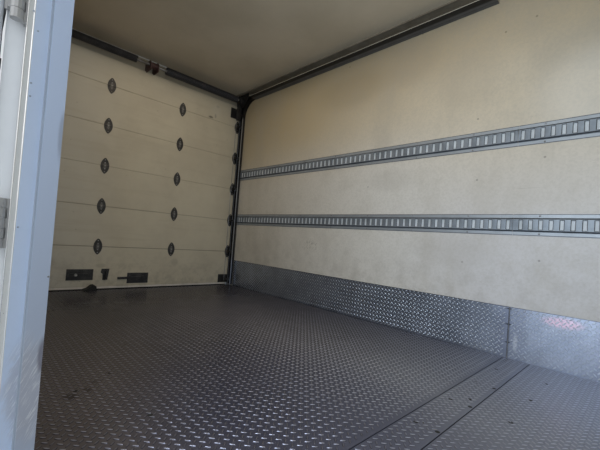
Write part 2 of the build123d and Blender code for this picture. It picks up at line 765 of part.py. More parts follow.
def door_latch():
    """Flat lock plate with a slide bolt and its round knob."""
    y, z = LATCH_KNOB
    out = LATCH_SLIDE[4] + KNOB_DEEP / 2 - 2
    knob = Pos(X_DOOR + out, y, FLOOR + z) * Rot(0, 90, 0) * Cylinder(KNOB_RADIUS, KNOB_DEEP)
    return on_board(*LATCH_PLATE) + on_board(*LATCH_SLIDE) + knob


def door_handle():
    """Leaning grip on two arms, on a base that narrows downward."""
    base = along_x([(y, FLOOR + z) for y, z in HANDLE_BASE], X_DOOR, X_DOOR + HANDLE_METAL)
    foot, head = [Vector(X_DOOR + HANDLE_OUT, y, FLOOR + z) for y, z in (HANDLE_FOOT, HANDLE_HEAD)]
    span = head - foot
    grip = Plane(origin=foot, z_dir=span) * Cylinder(GRIP_RADIUS, span.length, align=ROD)
    arms = []
    for y, z in (HANDLE_FOOT, HANDLE_HEAD):
        arms.append(on_board(y - ARM_HALF, y + ARM_HALF, z - ARM_HALF, z + ARM_HALF, HANDLE_OUT))
    return base + grip + arms


def door_bolt():
    """Side bolt: a plate with a bar that slides out of its end."""
    guides = [on_board(*guide) for guide in BOLT_GUIDES]
    return on_board(*BOLT_PLATE) + on_board(*BOLT_BAR) + guides


def rear_door_fittings():
    return Compound([door_latch(), door_handle(), door_bolt()])


# Section of the lowest board's edge strip and its rubber foot: distance from the door's face, height
FOOT_SECTION = ((-18, 26), (-1, 26), (-1, 9), (-4, 7), (-8, 0), (-14, 0), (-18, 5))
FOOT_SHORT = 30


def rear_door_seal():
    """Edge strip of the lowest board, with a rubber foot on the floor sheet."""
    outline = [(X_DOOR + x, FLOOR + z) for x, z in FOOT_SECTION]
    return along_y(outline, FOOT_SHORT - PANEL_HALF, PANEL_HALF - FOOT_SHORT)


# Outline of the door's pull, as (y, height) points, and its reach over the floor
PULL_OUTLINE = ((-474, 0), (-468, 8), (-430, 24), (-400, 50), (-380, 54), (-364, 42), (-358, 0))
PULL_REACH = (2, 84)


def door_pull():
    """Stiff rubber-coated loop at the door's foot: a long low side and a steep one."""
    outline = [(y, FLOOR + z) for y, z in PULL_OUTLINE]
    return along_x(outline, X_DOOR + PULL_REACH[0], X_DOOR + PULL_REACH[1])


# Side door


def frame_side(rear):
    """Plan outline of an upright of the door frame; rear says which side of the opening."""
    inner, outer = -HALF_IN, -HALF_OUT
    stop = inner - STOP_DEPTH
    skin = outer - FRAME_FLANGE
    outline = [
        (-FRAME_TURN, inner + FRAME_FLANGE), (STOP_PROUD, inner + FRAME_FLANGE), (STOP_PROUD, stop),
        (REBATE_PROUD, stop), (REBATE_PROUD, skin),
    ]
    if rear:
        outline += [(LIP_WIDE, skin), (LIP_WIDE, skin - HINGE_LIP), (0, skin - HINGE_LIP), (0, skin)]
    outline += [(-FRAME_LAP, skin), (-FRAME_LAP, outer), (0, outer), (0, inner), (-FRAME_TURN, inner)]
    if rear:
        return [(X_DOOR + CUT_REAR + p, y) for p, y in outline]
    return [(X_DOOR + CUT_FRONT - p, y) for p, y in outline]


def side_door_frame():
    """Rebated frame round the hole in the wall: two uprights, a head and a threshold."""
    inner, outer = -HALF_IN, -HALF_OUT
    stop, skin = inner - STOP_DEPTH, outer - FRAME_FLANGE
    foot = LEDGE + RAIL_METAL
    uprights = along_z(frame_side(True), foot, CUT_TOP) + along_z(frame_side(False), foot, CUT_TOP)
    # An upright's outer lap stops above the bottom rail's leg.
    x0, x1 = X_DOOR + CUT_REAR, X_DOOR + CUT_FRONT
    leg = HALF_OUT + RAIL_METAL
    notch = [
        block(x0 - FRAME_LAP - 1, x0, -leg - 20, -HALF_OUT, foot - 1, BOTTOM_RAIL_TOP),
        block(x1, x1 + FRAME_LAP + 1, -leg - 20, -HALF_OUT, foot - 1, BOTTOM_RAIL_TOP),
        block(x0 - 1, x1 + 1, -leg - 20, -HALF_OUT, foot - 1, BOTTOM_RAIL_TOP),
        block(x0 - 30, x1 + 30, inner - 0.01, inner + 20, foot - 1, FLOOR),
    ]
    head = [
        (inner + FRAME_FLANGE, CUT_TOP + FRAME_TURN), (inner + FRAME_FLANGE, CUT_TOP - STOP_PROUD),
        (stop, CUT_TOP - STOP_PROUD), (stop, CUT_TOP - REBATE_PROUD), (skin, CUT_TOP - REBATE_PROUD),
        (skin, CUT_TOP + FRAME_LAP), (outer, CUT_TOP + FRAME_LAP), (outer, CUT_TOP), (inner, CUT_TOP),
        (inner, CUT_TOP + FRAME_TURN),
    ]
    threshold = [
        (inner, foot), (inner, FLOOR), (stop, FLOOR), (stop, FLOOR - THRESHOLD_DROP),
        (outer, FLOOR - THRESHOLD_DROP), (outer, foot),
    ]
    ring = uprights + along_x(head, x0, x1) + along_x(threshold, x0, x1)
    return ring - notch


def leaf_box():
    """Corners of the leaf, shut: x low, x high, y low, y high, z low, z high."""
    x0 = X_DOOR + CUT_REAR + REBATE_PROUD + LEAF_GAP
    x1 = X_DOOR + CUT_FRONT - REBATE_PROUD - LEAF_GAP
    y0 = -(HALF_IN + LEAF_OUTER)
    y1 = y0 + LEAF_DEPTH
    z0 = FLOOR - THRESHOLD_DROP + LEAF_GAP
    z1 = CUT_TOP - REBATE_PROUD - LEAF_GAP
    return x0, x1, y0, y1, z0, z1


def swing_open(shape):
    """Turn a piece of the shut door half round its hinge pins, to lie back along the wall."""
    return Pos(PIN_X, PIN_Y, 0) * Rot(0, 0, 180) * Pos(-PIN_X, -PIN_Y, 0) * shape


def side_door_leaf():
    """Flat panel, let in from both faces of the edge frame."""
    x0, x1, y0, y1, z0, z1 = leaf_box()
    rim, step = LEAF_EDGE, LEAF_SKIN_STEP
    return swing_open(block(x0 + rim, x1 - rim, y0 + step, y1 - step, z0 + rim, z1 - rim))


def side_door_edge():
    """Extruded rim of the leaf, its outer corners rounded."""
    x0, x1, y0, y1, z0, z1 = leaf_box()
    rim = LEAF_EDGE
    slab = block(x0, x1, y0, y1, z0, z1)
    slab = fillet(slab.edges().filter_by(Axis.Z), LEAF_ROUND)
    return swing_open(slab - block(x0 + rim, x1 - rim, y0 - 1, y1 + 1, z0 + rim, z1 - rim))


def knuckle_spans(level):
    low = FLOOR + level - HINGE_HEIGHT / 2
    pitch = HINGE_HEIGHT / KNUCKLE_COUNT
    gap = KNUCKLE_GAP / 2
    return [(low + pitch * i + gap, low + pitch * (i + 1) - gap) for i in range(KNUCKLE_COUNT)]


def knuckle(z0, z1):
    """One length of a hinge's barrel, round its pin."""
    face = make_face(Plane.XY.offset(z0) * Pos(PIN_X, PIN_Y) * RegularPolygon(KNUCKLE_RADIUS, KNUCKLE_FLATS))
    return extrude(face, z1 - z0, dir=(0, 0, 1))


STRAP_METAL = 5
STRAP_LONG = 130
PLATE_LONG = 40


def side_hinges_fixed():
    """Hinge halves on the frame: a cranked plate with every other knuckle."""
    skin = -HALF_OUT - FRAME_FLANGE
    lip_x = X_DOOR + CUT_REAR
    lip_y = skin - HINGE_LIP
    metal = PLATE_METAL
    pieces = []
    for level in HINGE_LEVELS:
        low, high = FLOOR + level - HINGE_HEIGHT / 2, FLOOR + level + HINGE_HEIGHT / 2
        half = block(lip_x - PLATE_LONG, lip_x, skin - metal, skin, low, high)
        half += block(lip_x - metal, lip_x, lip_y - metal, skin, low, high)
        half += block(lip_x - metal, PIN_X, lip_y - metal, lip_y, low, high)
        for z0, z1 in knuckle_spans(level)[::2]:
            half += knuckle(z0, z1)
            half += block(PIN_X + 1 - KNUCKLE_RADIUS, PIN_X, PIN_Y, lip_y, z0, z1)
        pieces.append(half)
    return Compound(pieces)


def side_hinges_moving():
    """Hinge halves on the leaf: a strap with the knuckles between."""
    x0, y0 = leaf_box()[0], leaf_box()[2]
    face = y0 - STRAP_METAL
    pieces = []
    for level in HINGE_LEVELS:
        spans = knuckle_spans(level)[1::2]
        half = block(x0, x0 + STRAP_LONG, face, y0, spans[0][0], spans[-1][1])
        for z0, z1 in spans:
            half += knuckle(z0, z1)
            half += block(PIN_X + 3, x0 + 6, PIN_Y, face, z0, z1)
        pieces.append(swing_open(half))
    return Compound(pieces)


LOCK_IN = 120
LOCK_OUT = 20
LOCK_BAR = 11
# Guides of the lock's bar: heights up from the leaf's foot, the pad's and the block's half sides
GUIDE_LEVELS = (60, 1300)
GUIDE_PAD = 30
PAD_METAL = 6
GUIDE_BLOCK = (16, 22, 15)
# Lever and its catch: how far back from the bar, and the heights up from the leaf's foot
LEVER = (250, 940, 975)
LEVER_HALF = 6
CATCH_PLATE = (260, 190, 920, 995, 8)
CATCH_HOOK = (240, 210, 945, 970, 14)


def side_door_lock():
    """Lock bar on the leaf's outer face: rod, guides and a hand lever with its catch."""
    x1, y0, z0, z1 = (leaf_box()[i] for i in (1, 2, 4, 5))
    x, y = x1 - LOCK_IN, y0 - LOCK_OUT
    wide, high, out = GUIDE_BLOCK
    lock = rod_z(x, y, LOCK_BAR, z0 + 4, z1 - 4)
    for z in [z0 + level for level in GUIDE_LEVELS] + [z1 - GUIDE_LEVELS[0]]:
        lock += block(x - GUIDE_PAD, x + GUIDE_PAD, y0 - PAD_METAL, y0, z - GUIDE_PAD, z + GUIDE_PAD)
        lock += block(x - wide, x + wide, y - out, y0 - PAD_METAL, z - high, z + high)
    long, low, top = LEVER
    lock += block(x - long, x, y - LEVER_HALF, y + LEVER_HALF, z0 + low, z0 + top)
    for far, near, low, top, proud in (CATCH_PLATE, CATCH_HOOK):
        lock += block(x - far, x - near, y0 - proud, y0, z0 + low, z0 + top)
    return swing_open(lock)


def side_door_seal():
    """Rubber strip round the frame's stop, where the shut leaf closes."""
    stop = -HALF_IN - STOP_DEPTH
    x0, x1 = X_DOOR + CUT_REAR + REBATE_PROUD, X_DOOR + CUT_FRONT - REBATE_PROUD
    z0, z1 = FLOOR - THRESHOLD_DROP, CUT_TOP - REBATE_PROUD
    rim = SEAL_RIM
    slab = block(x0, x1, stop - SEAL, stop, z0, z1)
    return slab - block(x0 + rim, x1 - rim, stop - SEAL - 1, stop + 1, z0 - 1, z1 - rim)


NODES = {
    "long_sills": long_sills,
    "chassis_brackets": chassis_brackets,
    "cross_members": cross_members,
    "floor_deck": floor_deck,
    "floor_plates": floor_plates,
    "bottom_rails": bottom_rails,
    "top_rails": top_rails,
    "roof_panel": roof_panel,
    "road_side_wall": road_side_wall,
    "kerb_wall_rear": kerb_wall_rear,
    "kerb_wall_front": kerb_wall_front,
    "kerb_wall_over_door": kerb_wall_over_door,
    "front_wall": front_wall,
    "front_corner_posts": front_corner_posts,
    "rear_posts": rear_posts,
    "rear_header": rear_header,
    "rear_sill": rear_sill,
    "rear_lamps": rear_lamps,
    "front_lamps": front_lamps,
    "dock_bumpers": dock_bumpers,
    "kick_plates": kick_plates,
    "logistic_rails_road": logistic_rails_road,
    "logistic_rails_kerb": logistic_rails_kerb,
    "rear_door_panels": rear_door_panels,
    "door_hinges_middle": door_hinges_middle,
    "door_hinges_edge": door_hinges_edge,
    "door_rollers": door_rollers,
    "door_tracks": door_tracks,
    "track_ledges": track_ledges,
    "roller_brackets": roller_brackets,
    "spring_shaft": spring_shaft,
    "door_springs": door_springs,
    "cable_drums": cable_drums,
    "shaft_brackets": shaft_brackets,
    "lift_cables": lift_cables,
    "rear_door_fittings": rear_door_fittings,
    "rear_door_seal": rear_door_seal,
    "door_pull": door_pull,
    "side_door_frame": side_door_frame,
    "side_door_seal": side_door_seal,
    "side_door_leaf": side_door_leaf,
    "side_door_edge": side_door_edge,
    "side_hinges_fixed": side_hinges_fixed,
    "side_hinges_moving": side_hinges_moving,
    "side_door_lock": side_door_lock,
}

os.makedirs("parts", exist_ok=True)
for name, make in NODES.items():
    export_step(make(), f"parts/{name}.step")
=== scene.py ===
import json
import math

import bpy
from mathutils import Matrix, Vector


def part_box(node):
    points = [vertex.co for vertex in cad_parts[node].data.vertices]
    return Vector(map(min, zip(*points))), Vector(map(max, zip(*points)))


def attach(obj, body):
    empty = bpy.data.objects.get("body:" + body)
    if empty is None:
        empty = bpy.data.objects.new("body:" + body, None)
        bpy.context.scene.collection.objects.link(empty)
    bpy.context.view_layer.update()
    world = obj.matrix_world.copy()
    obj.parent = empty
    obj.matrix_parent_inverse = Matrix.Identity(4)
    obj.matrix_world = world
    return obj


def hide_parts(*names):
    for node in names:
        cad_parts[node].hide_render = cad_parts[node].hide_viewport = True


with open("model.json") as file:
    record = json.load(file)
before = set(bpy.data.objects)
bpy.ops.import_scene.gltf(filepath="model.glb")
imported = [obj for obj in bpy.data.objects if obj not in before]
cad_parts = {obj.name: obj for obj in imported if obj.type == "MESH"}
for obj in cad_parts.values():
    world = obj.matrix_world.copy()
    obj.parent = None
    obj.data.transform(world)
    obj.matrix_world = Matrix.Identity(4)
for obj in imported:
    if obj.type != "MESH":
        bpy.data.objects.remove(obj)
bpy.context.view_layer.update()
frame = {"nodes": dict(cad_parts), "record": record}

# Places in the load space, from the frame. Metres.
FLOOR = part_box("floor_plates")[1].z
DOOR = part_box("rear_door_panels")[1].x
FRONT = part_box("road_side_wall")[1].x
HALF_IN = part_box("road_side_wall")[0].y
HALF_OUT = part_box("road_side_wall")[1].y
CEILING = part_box("roof_panel")[0].z
SKIN_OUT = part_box("top_rails")[1].y

MM = 0.001

# Raised lugs of the floor and kick plates
LUG_PITCH = 31.75 * MM
LUG_LONG = 25 * MM
LUG_WIDE = 7.5 * MM
LUG_HIGH = 1.6 * MM

# Slots of the tie-down rails: pitch, and for each rail its middle above the floor and where its
# row of slots starts, behind the joint and in front of it
SLOT_PITCH = 50.8 * MM
SLOT_ROWS = ((0.819, 0.038, 0.005), (1.3735, 0.032, 0.0387))
SLOT_WIDE = 16 * MM
SLOT_HIGH = 54 * MM
SLOT_CURL = 4 * MM
RAIL_JOINT = 3.112
RAIL_HIGH = 130 * MM
RAIL_PROUD = 12.5 * MM
RAIL_METAL = 2.5 * MM
RAIL_FLANGE = 22 * MM
RAIL_BAND = 32 * MM

# Kick plates: the road side's upright joint, from the roll-up door, and their height
KICK_JOINT = 3.123
KICK_HIGH = 0.312
KICK_METAL = 3 * MM

# Studs behind the lining, where the rails are bolted on
STUD_PITCH = 0.4064
STUD_LAST = 3.25

# Hinges of the roll-up door: distance from the side wall, and the joints' heights above the floor
HINGE_EDGE = 0.054
HINGE_PITCH = (2 * HALF_IN - 2 * HINGE_EDGE) / 3
JOINT_PITCH = 0.391
PANEL_TOP = 2.243
DOOR_JOINTS = [0.414 + JOINT_PITCH * i for i in range(5)]

# Track ledge: its top, and distances from the side wall of its turned-up edge and its dark seam
LEDGE_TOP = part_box("track_ledges")[1].z - FLOOR
LEDGE_EDGE = 95.5 * MM
LEDGE_SEAM = 30 * MM

# Roller track: height of its level run, and distances from the side wall of its lips and of the
# painted highlight line on its flange
TRACK_LEVEL = 2.322
TRACK_LIPS = 43 * MM
TRACK_LINE = 37 * MM

# Width of the hinge cover's tan edge, painted shade next to the jamb
COVER_EDGE = 13.5 * MM


def inner(u, v, z):
    """Place in the load space: from the roll-up door, in from the road side wall, over the floor."""
    return (DOOR + u, HALF_IN - v, FLOOR + z)


# Shader maths


def feed(tree, socket, value):
    """Links a field to a socket, or sets it to a plain value, where a colour's alpha is 1."""
    if isinstance(value, Field):
        tree.links.new(value.socket, socket)
    else:
        socket.default_value = (*value, 1) if socket.type == "RGBA" else value


class Field:
    """A value that changes over a surface; arithmetic on it adds Math nodes."""

    def __init__(self, tree, socket):
        self.tree = tree
        self.socket = socket

    def math(self, operation, *values, clamp=False):
        node = self.tree.nodes.new("ShaderNodeMath")
        node.operation = operation
        node.use_clamp = clamp
        for socket, value in zip(node.inputs, values):
            feed(self.tree, socket, value)
        return Field(self.tree, node.outputs[0])

    def __add__(self, other):
        return self.math("ADD", self, other)

    def __mul__(self, other):
        return self.math("MULTIPLY", self, other)

    __radd__ = __add__
    __rmul__ = __mul__

    def __sub__(self, other):
        return self.math("SUBTRACT", self, other)

    def __rsub__(self, other):
        return self.math("SUBTRACT", other, self)

    def __truediv__(self, other):
        return self.math("DIVIDE", self, other)

    def __gt__(self, other):
        return self.math("GREATER_THAN", self, other)

    def __lt__(self, other):
        return self.math("LESS_THAN", self, other)

    def __abs__(self):
        return self.math("ABSOLUTE", self)

    def clamp(self):
        return self.math("ADD", self, 0, clamp=True)

    def step(self, low, high):
        """0 below low, 1 above high, smooth between."""
        node = self.tree.nodes.new("ShaderNodeMapRange")
        node.interpolation_type = "SMOOTHSTEP"
        feed(self.tree, node.inputs["Value"], self)
        node.inputs["From Min"].default_value = low
        node.inputs["From Max"].default_value = high
        return Field(self.tree, node.outputs["Result"])

    def off_middle(self, start, pitch):
        """How far a place is from the nearest of a row of lines, with its sign."""
        course = (self - start) / pitch + 0.5
        return (self.math("FRACT", course) - 0.5) * pitch


class Tree:
    """The nodes of a material or of the world, made by short calls that return fields."""

    def __init__(self, tree):
        self.tree = tree

    def node(self, kind, settings=None, out=0, **inputs):
        """Any other node: its settings first, then its inputs by name or number."""
        node = self.tree.nodes.new("ShaderNode" + kind)
        for key, value in (settings or {}).items():
            setattr(node, key, value)
        for key, value in inputs.items():
            slot = int(key[1:]) if key[0] == "i" and key[1:].isdigit() else key.replace("_", " ")
            feed(self.tree, node.inputs[slot], value)
        return Field(self.tree, node.outputs[out])

    def place(self):
        return self.node("TexCoord", out="Object")

    def axes(self):
        """Metres from the roll-up door, across from the middle, and over the floor."""
        split = self.tree.nodes.new("ShaderNodeSeparateXYZ")
        feed(self.tree, split.inputs[0], self.place())
        x, y, z = (Field(self.tree, socket) for socket in split.outputs)
        return x - DOOR, y, z - FLOOR

    def noise(self, scale, detail=3, roughness=0.5, stretch=None, turn=None):
        """Noise: a stretch under 1 draws it out along an axis; with a turn in radians, one over 1
        draws it out along the turned axis."""
        vector = self.place()
        if turn:
            vector = self.node("Mapping", {"vector_type": "TEXTURE"}, Vector=vector, Rotation=turn,
                               Scale=stretch)
        elif stretch:
            vector = self.node("Mapping", Vector=vector, Scale=stretch)
        return self.node("TexNoise", Vector=vector, Scale=scale, Detail=detail, Roughness=roughness)

    def cells(self, scale):
        return self.node("TexVoronoi", out="Distance", Vector=self.place(), Scale=scale)

    def mix(self, factor, first, second):
        """Blend of two colours."""
        return self.node("Mix", {"data_type": "RGBA"}, out=2, i0=factor, i6=first, i7=second)

    def layers(self, tone, *over):
        """A colour with others laid over it: for each, how much of it shows where, and the colour."""
        for share, colour in over:
            tone = self.mix(share, tone, colour)
        return tone

    def spot(self, centre, radii):
        """1 at a place of the load space, 0 outside an ellipsoid round it."""
        moved = self.node("VectorMath", {"operation": "SUBTRACT"}, i0=self.place(), i1=inner(*centre))
        scaled = self.node("VectorMath", {"operation": "DIVIDE"}, i0=moved, i1=radii)
        far = self.node("VectorMath", {"operation": "LENGTH"}, out="Value", i0=scaled)
        return 1 - far.step(0.4, 1)

    def marks(self, rows):
        """Layers from marks, each a centre, radii, strength and colour."""
        return [(self.spot(centre, radii) * strength, colour) for centre, radii, strength, colour in rows]


FINISHES = {}


class Finish(Tree):
    """One material, kept by its name: a Principled shader and what feeds it."""

    def __init__(self, name, specular=0.5, metallic=0, **constants):
        self.material = FINISHES[name] = bpy.data.materials.new(name)
        self.material.use_nodes = True
        super().__init__(self.material.node_tree)
        self.shader = next(node for node in self.tree.nodes if node.type == "BSDF_PRINCIPLED")
        self.set(Specular_IOR_Level=specular, Metallic=metallic, **constants)

    def set(self, **inputs):
        for key, value in inputs.items():
            feed(self.tree, self.shader.inputs[key.replace("_", " ")], value)

    def surface(self, colour, roughness, height, distance=0.0002, strength=0.3):
        """Feeds the colour and the roughness, and a bump of a height that is distance metres deep."""
        bump = self.node("Bump", Height=height, Distance=distance, Strength=strength)
        self.set(Base_Color=colour, Roughness=roughness, Normal=bump)


# Marks on the finishes

# Marks: place, as inner() takes it, half the size, strength and colour. DEEP is how far a mark
# reaches off its surface.
DEEP = 20 * MM
FLECK = 9 * MM
INK = (0.1, 0.085, 0.065)
SMUDGE = (0.13, 0.115, 0.09)
PALE = (0.66, 0.62, 0.52)
SEAM = (0.012, 0.012, 0.016)
TAR = (0.03, 0.015, 0.015)

# Small dark flecks on the wall: along and up
FLECKS = (
    (3.255, 1.226), (2.883, 1.115), (2.864, 1.532), (3.001, 2.077), (3.169, 2.112), (2.01, 1.119),
    (1.404, 0.595), (2.418, 2.286), (1.716, 2.246), (2.822, 0.559), (3.258, 0.608),
)
WALL_MARKS = [((u, 0, z), (FLECK, DEEP, FLECK), 0.5, INK) for u, z in FLECKS] + [
    # Broad patches: the darker ones high up are painted shade, and the pale one at 3.6 m is painted light
    # across from the side doorway; the rest darken the wall in patches
    ((3.5, 0, 1.85), (0.45, DEEP, 0.2), 0.2, (0.3, 0.29, 0.26)),
    ((1.15, 0, 1.95), (0.55, DEEP, 0.45), 0.3, (0.5, 0.39, 0.22)),
    ((1.75, 0, 2.02), (0.5, DEEP, 0.22), 0.35, (0.34, 0.27, 0.17)),
    ((2.33, 0, 2.07), (0.3, DEEP, 0.22), 0.3, (0.38, 0.32, 0.24)),
    ((2.79, 0, 1.82), (0.3, DEEP, 0.26), 0.28, (0.42, 0.37, 0.29)),
    ((2.22, 0, 1.16), (0.3, DEEP, 0.12), 0.26, (0.44, 0.41, 0.36)),
    ((2.74, 0, 0.63), (0.34, DEEP, 0.16), 0.26, (0.42, 0.39, 0.35)),
    ((3.6, 0, 1.58), (0.55, DEEP, 0.36), 0.3, (0.84, 0.82, 0.78)),
]
SCUFF_PATCH = (1.38, 0, 0.58), (0.17, DEEP, 0.07)
DOOR_MARKS = (
    ((0, 0.428, 2.003), (DEEP, 0.04, 0.018), 0.75, SMUDGE),
    ((0, 0.368, 2.033), (DEEP, 0.016, 0.034), 0.45, SMUDGE),
    ((0, 0.346, 2.15), (DEEP, 0.03, 0.02), 0.25, SMUDGE),
    ((0, 0.36, 2.1), (DEEP, 0.08, 0.1), 0.35, PALE),
    ((0, 0.724, 0.27), (DEEP, 0.05, 0.06), 0.16, SMUDGE),
    ((0, 1.46, 0.23), (DEEP, 0.06, 0.03), 0.25, SMUDGE),
)
KICK_MARKS = (
    ((3.385, KICK_METAL, 0.27), (0.12, DEEP, 0.038), 0.5, (0.62, 0.38, 0.44)),
    ((KICK_JOINT - 0.03, KICK_METAL, 0.16), (0.06, DEEP, 0.3), 0.45, (0.17, 0.185, 0.25)),
    ((KICK_JOINT + 0.05, KICK_METAL, 0.18), (0.06, DEEP, 0.26), 0.4, (0.2, 0.22, 0.29)),
    ((KICK_JOINT, KICK_METAL, 0.16), (0.006, DEEP, 0.45), 0.9, SEAM),
    ((KICK_JOINT, KICK_METAL, 0.205), (0.03, DEEP, 0.006), 0.9, SEAM),
    ((KICK_JOINT, KICK_METAL, 0.3), (0.026, DEEP, 0.006), 0.8, SEAM),
    ((KICK_JOINT, KICK_METAL, 0.095), (0.022, DEEP, 0.006), 0.8, SEAM),
    ((3.163, KICK_METAL, 0.1), (0.014, DEEP, 0.07), 0.55, (0.62, 0.64, 0.68)),
)
FLOOR_MARKS = (
    # The first two patches are painted light: paler and bluer toward the front on the road side, paler and
    # browner along the kerb side toward the rear
    ((3.45, 0.85, 0), (1.2, 1.4, DEEP), 0.74, (0.3, 0.315, 0.37)),
    ((1.5, 2.25, 0), (1.9, 0.75, DEEP), 0.6, (0.21, 0.185, 0.18)),
    ((2.7, 1.45, 0), (0.9, 0.7, DEEP), 0.7, (0.08, 0.086, 0.15)),
    ((2.29, 2.12, 0), (0.035, 0.03, DEEP), 0.75, (0.02, 0.015, 0.015)),
    ((2.26, 2.06, 0), (0.03, 0.02, DEEP), 0.7, TAR),
    ((2.2, 2.02, 0), (0.02, 0.035, DEEP), 0.45, TAR),
)
JAMB_MARKS = (
    ((2.715, 2.278, 0.3), (0.06, 0.012, 0.055), 0.75, (0.16, 0.15, 0.19)),
    ((2.715, 2.278, 0.83), (0.03, 0.01, 0.075), 0.45, (0.2, 0.22, 0.28)),
)


# Finishes. In each, u, y and h are the places that axes() gives.


def wall_finish():
    """Cream facing inside, with painted shade that makes it browner high up and toward the rear and
    painted light that makes it greyer and paler low down, a fine pebble, scuffs and grime; white gloss
    skin outside."""
    f = Finish("wall_panel", 0.4)
    u, y, h = f.axes()
    inside = abs(y) < HALF_IN + 0.02
    high = h.step(1.1, 2.3)
    # Painted shade: browner high up and toward the rear; painted light: paler low down toward the rear
    painted_rear_top_shade = ((1 - u.step(0.2, 3.4)) * (high * 0.9 + 0.4) * 0.95).clamp()
    painted_low_light = (1 - u.step(2, 3.1)) * (1 - h.step(1.1, 1.8))
    cloud = f.noise(5, 5, 0.6)
    soft = f.noise(1.3, 4).step(0.35, 0.65)
    grime = (1 - h.step(0.2, 0.9)) * f.noise(9, 6, 0.7).step(0.4, 0.7)
    scuff = f.noise(7, 4, 0.6, (0.35, 1, 6)).step(0.66, 0.74) * f.noise(2, 2).step(0.45, 0.6)
    scribble = f.spot(*SCUFF_PATCH) * f.noise(60, 4, 0.65, (0.5, 1, 2.5), (0, 0.6, 0)).step(0.56, 0.62)
    fleck = (f.cells(9) < 0.03) * 0.5
    mottle = f.noise(75, 3, 0.65)
    drawn = f.noise(3, 4, 0.6, (1, 1, 0.25)).step(0.5, 0.72)
    # Painted light and shade by height: grey low down, warmer higher up, brown at the top and in clouds
    # high up
    low = f.mix(h.step(0.6, 1.7), (0.605, 0.585, 0.58), (0.655, 0.572, 0.44))
    cream = f.layers(
        low,
        (h.step(1.75, 2.1), (0.55, 0.46, 0.325)),
        (painted_low_light, (0.735, 0.71, 0.665)),
        (painted_rear_top_shade, (0.46, 0.375, 0.235)),
        (soft * high * 0.35, (0.42, 0.34, 0.22)),
        (cloud.step(0.45, 0.7) * 0.22, (0.46, 0.42, 0.35)),
        (drawn * 0.24, (0.42, 0.38, 0.31)),
        (mottle.step(0.38, 0.66) * 0.22, (0.4, 0.37, 0.31)),
        ((grime * 0.3 + scuff * 0.3 + fleck * 0.4).clamp(), (0.27, 0.24, 0.2)),
        *f.marks(WALL_MARKS),
        (scribble * 0.55, INK),
    )
    white = f.mix(cloud.step(0.4, 0.75) * 0.12, (0.8, 0.81, 0.82), (0.55, 0.54, 0.52))
    pebble = (f.noise(260, 2, 0.55) + mottle) * inside
    f.surface(f.mix(inside, white, cream), 0.25 + inside * 0.2 + scuff * 0.15 + cloud * 0.08,
              pebble + f.noise(28, 2) * 0.6, 0.0009, 0.6)


def end_wall_finish():
    """As the side walls, but facing along the body."""
    f = Finish("front_wall_panel", 0.4)
    u, _, _ = f.axes()
    inside = u < FRONT - DOOR + 0.02
    cloud = f.noise(4, 5, 0.6)
    scuff = f.noise(6, 4, 0.6, (1, 0.35, 6)).step(0.62, 0.72)
    cream = f.mix(cloud.step(0.4, 0.7), (0.66, 0.62, 0.51), (0.58, 0.54, 0.43))
    cream = f.mix(scuff * 0.3, cream, (0.3, 0.27, 0.22))
    white = f.mix(cloud.step(0.4, 0.75) * 0.15, (0.8, 0.81, 0.82), (0.5, 0.49, 0.47))
    f.surface(f.mix(inside, white, cream), 0.28 + inside * 0.2 + cloud * 0.1,
              f.noise(260, 2), 0.0005, 0.5)


def leaf_finish():
    """Side door panel: cream liner on its inner face, white skin on its outer one."""
    low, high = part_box("side_door_leaf")
    f = Finish("side_door_panel", 0.4)
    _, y, _ = f.axes()
    liner = y < (low.y + high.y) / 2
    cloud = f.noise(5, 5, 0.6)
    cream = f.mix(cloud.step(0.4, 0.7), (0.7, 0.68, 0.6), (0.66, 0.64, 0.56))
    white = f.mix(cloud.step(0.4, 0.75) * 0.12, (0.82, 0.83, 0.84), (0.55, 0.54, 0.52))
    f.surface(f.mix(liner, white, cream), 0.25 + liner * 0.2 + cloud * 0.1,
              f.noise(260, 2), 0.0005, 0.4)


def board_finish(name, node):
    """Roll-up door boards: cream laminate inside, faintly streaked and stained, paler toward the kerb side
    as painted light, with a dark line along the top and painted shade over the header above it; white
    outside.
    """
    f = Finish(name, 0.45)
    u, y, h = f.axes()
    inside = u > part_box(node)[1].x - DOOR - 0.01
    streak = f.noise(4, 4, 0.6, (1, 0.4, 5))
    cloud = f.noise(2.2, 5, 0.6)
    low_dirt = (1 - h.step(0.04, 0.5)) * f.noise(14, 5, 0.7).step(0.42, 0.66)
    fleck = (f.cells(7) < 0.05) * 0.7
    joint = 1 - abs(h.off_middle(DOOR_JOINTS[0], JOINT_PITCH)).step(2.5 * MM, 4.5 * MM)
    over = h - PANEL_TOP
    # A dark line along the boards' top edge, and painted shade over the header above it
    top_gap_and_header_shade = (abs(over) < 2 * MM) * 0.6 + (over > 2 * MM) * 0.25
    cream = f.layers(
        f.mix(cloud.step(0.35, 0.7), (0.63, 0.57, 0.44), (0.56, 0.5, 0.385)),
        # Painted light: paler and greyer toward the kerb side
        ((1 - y.step(-0.85, -0.1)) * 0.55, (0.66, 0.66, 0.62)),
        (streak.step(0.5, 0.75) * 0.25, (0.48, 0.42, 0.31)),
        ((low_dirt * 0.3 + fleck * 0.35).clamp(), (0.22, 0.19, 0.15)),
        *f.marks(DOOR_MARKS),
        (top_gap_and_header_shade, (0.2, 0.17, 0.13)),
    )
    white = f.mix(cloud.step(0.4, 0.75) * 0.15, (0.8, 0.81, 0.82), (0.5, 0.49, 0.47))
    gap = joint * (1 - h.step(0.5, 1.1)) * 0.6
    f.surface(f.mix(gap, f.mix(inside, white, cream), INK), 0.3 + streak * 0.2 + low_dirt * 0.2,
              f.noise(60) * 0.5 + f.noise(300, 2) * 0.3, 0.0005, 0.35)


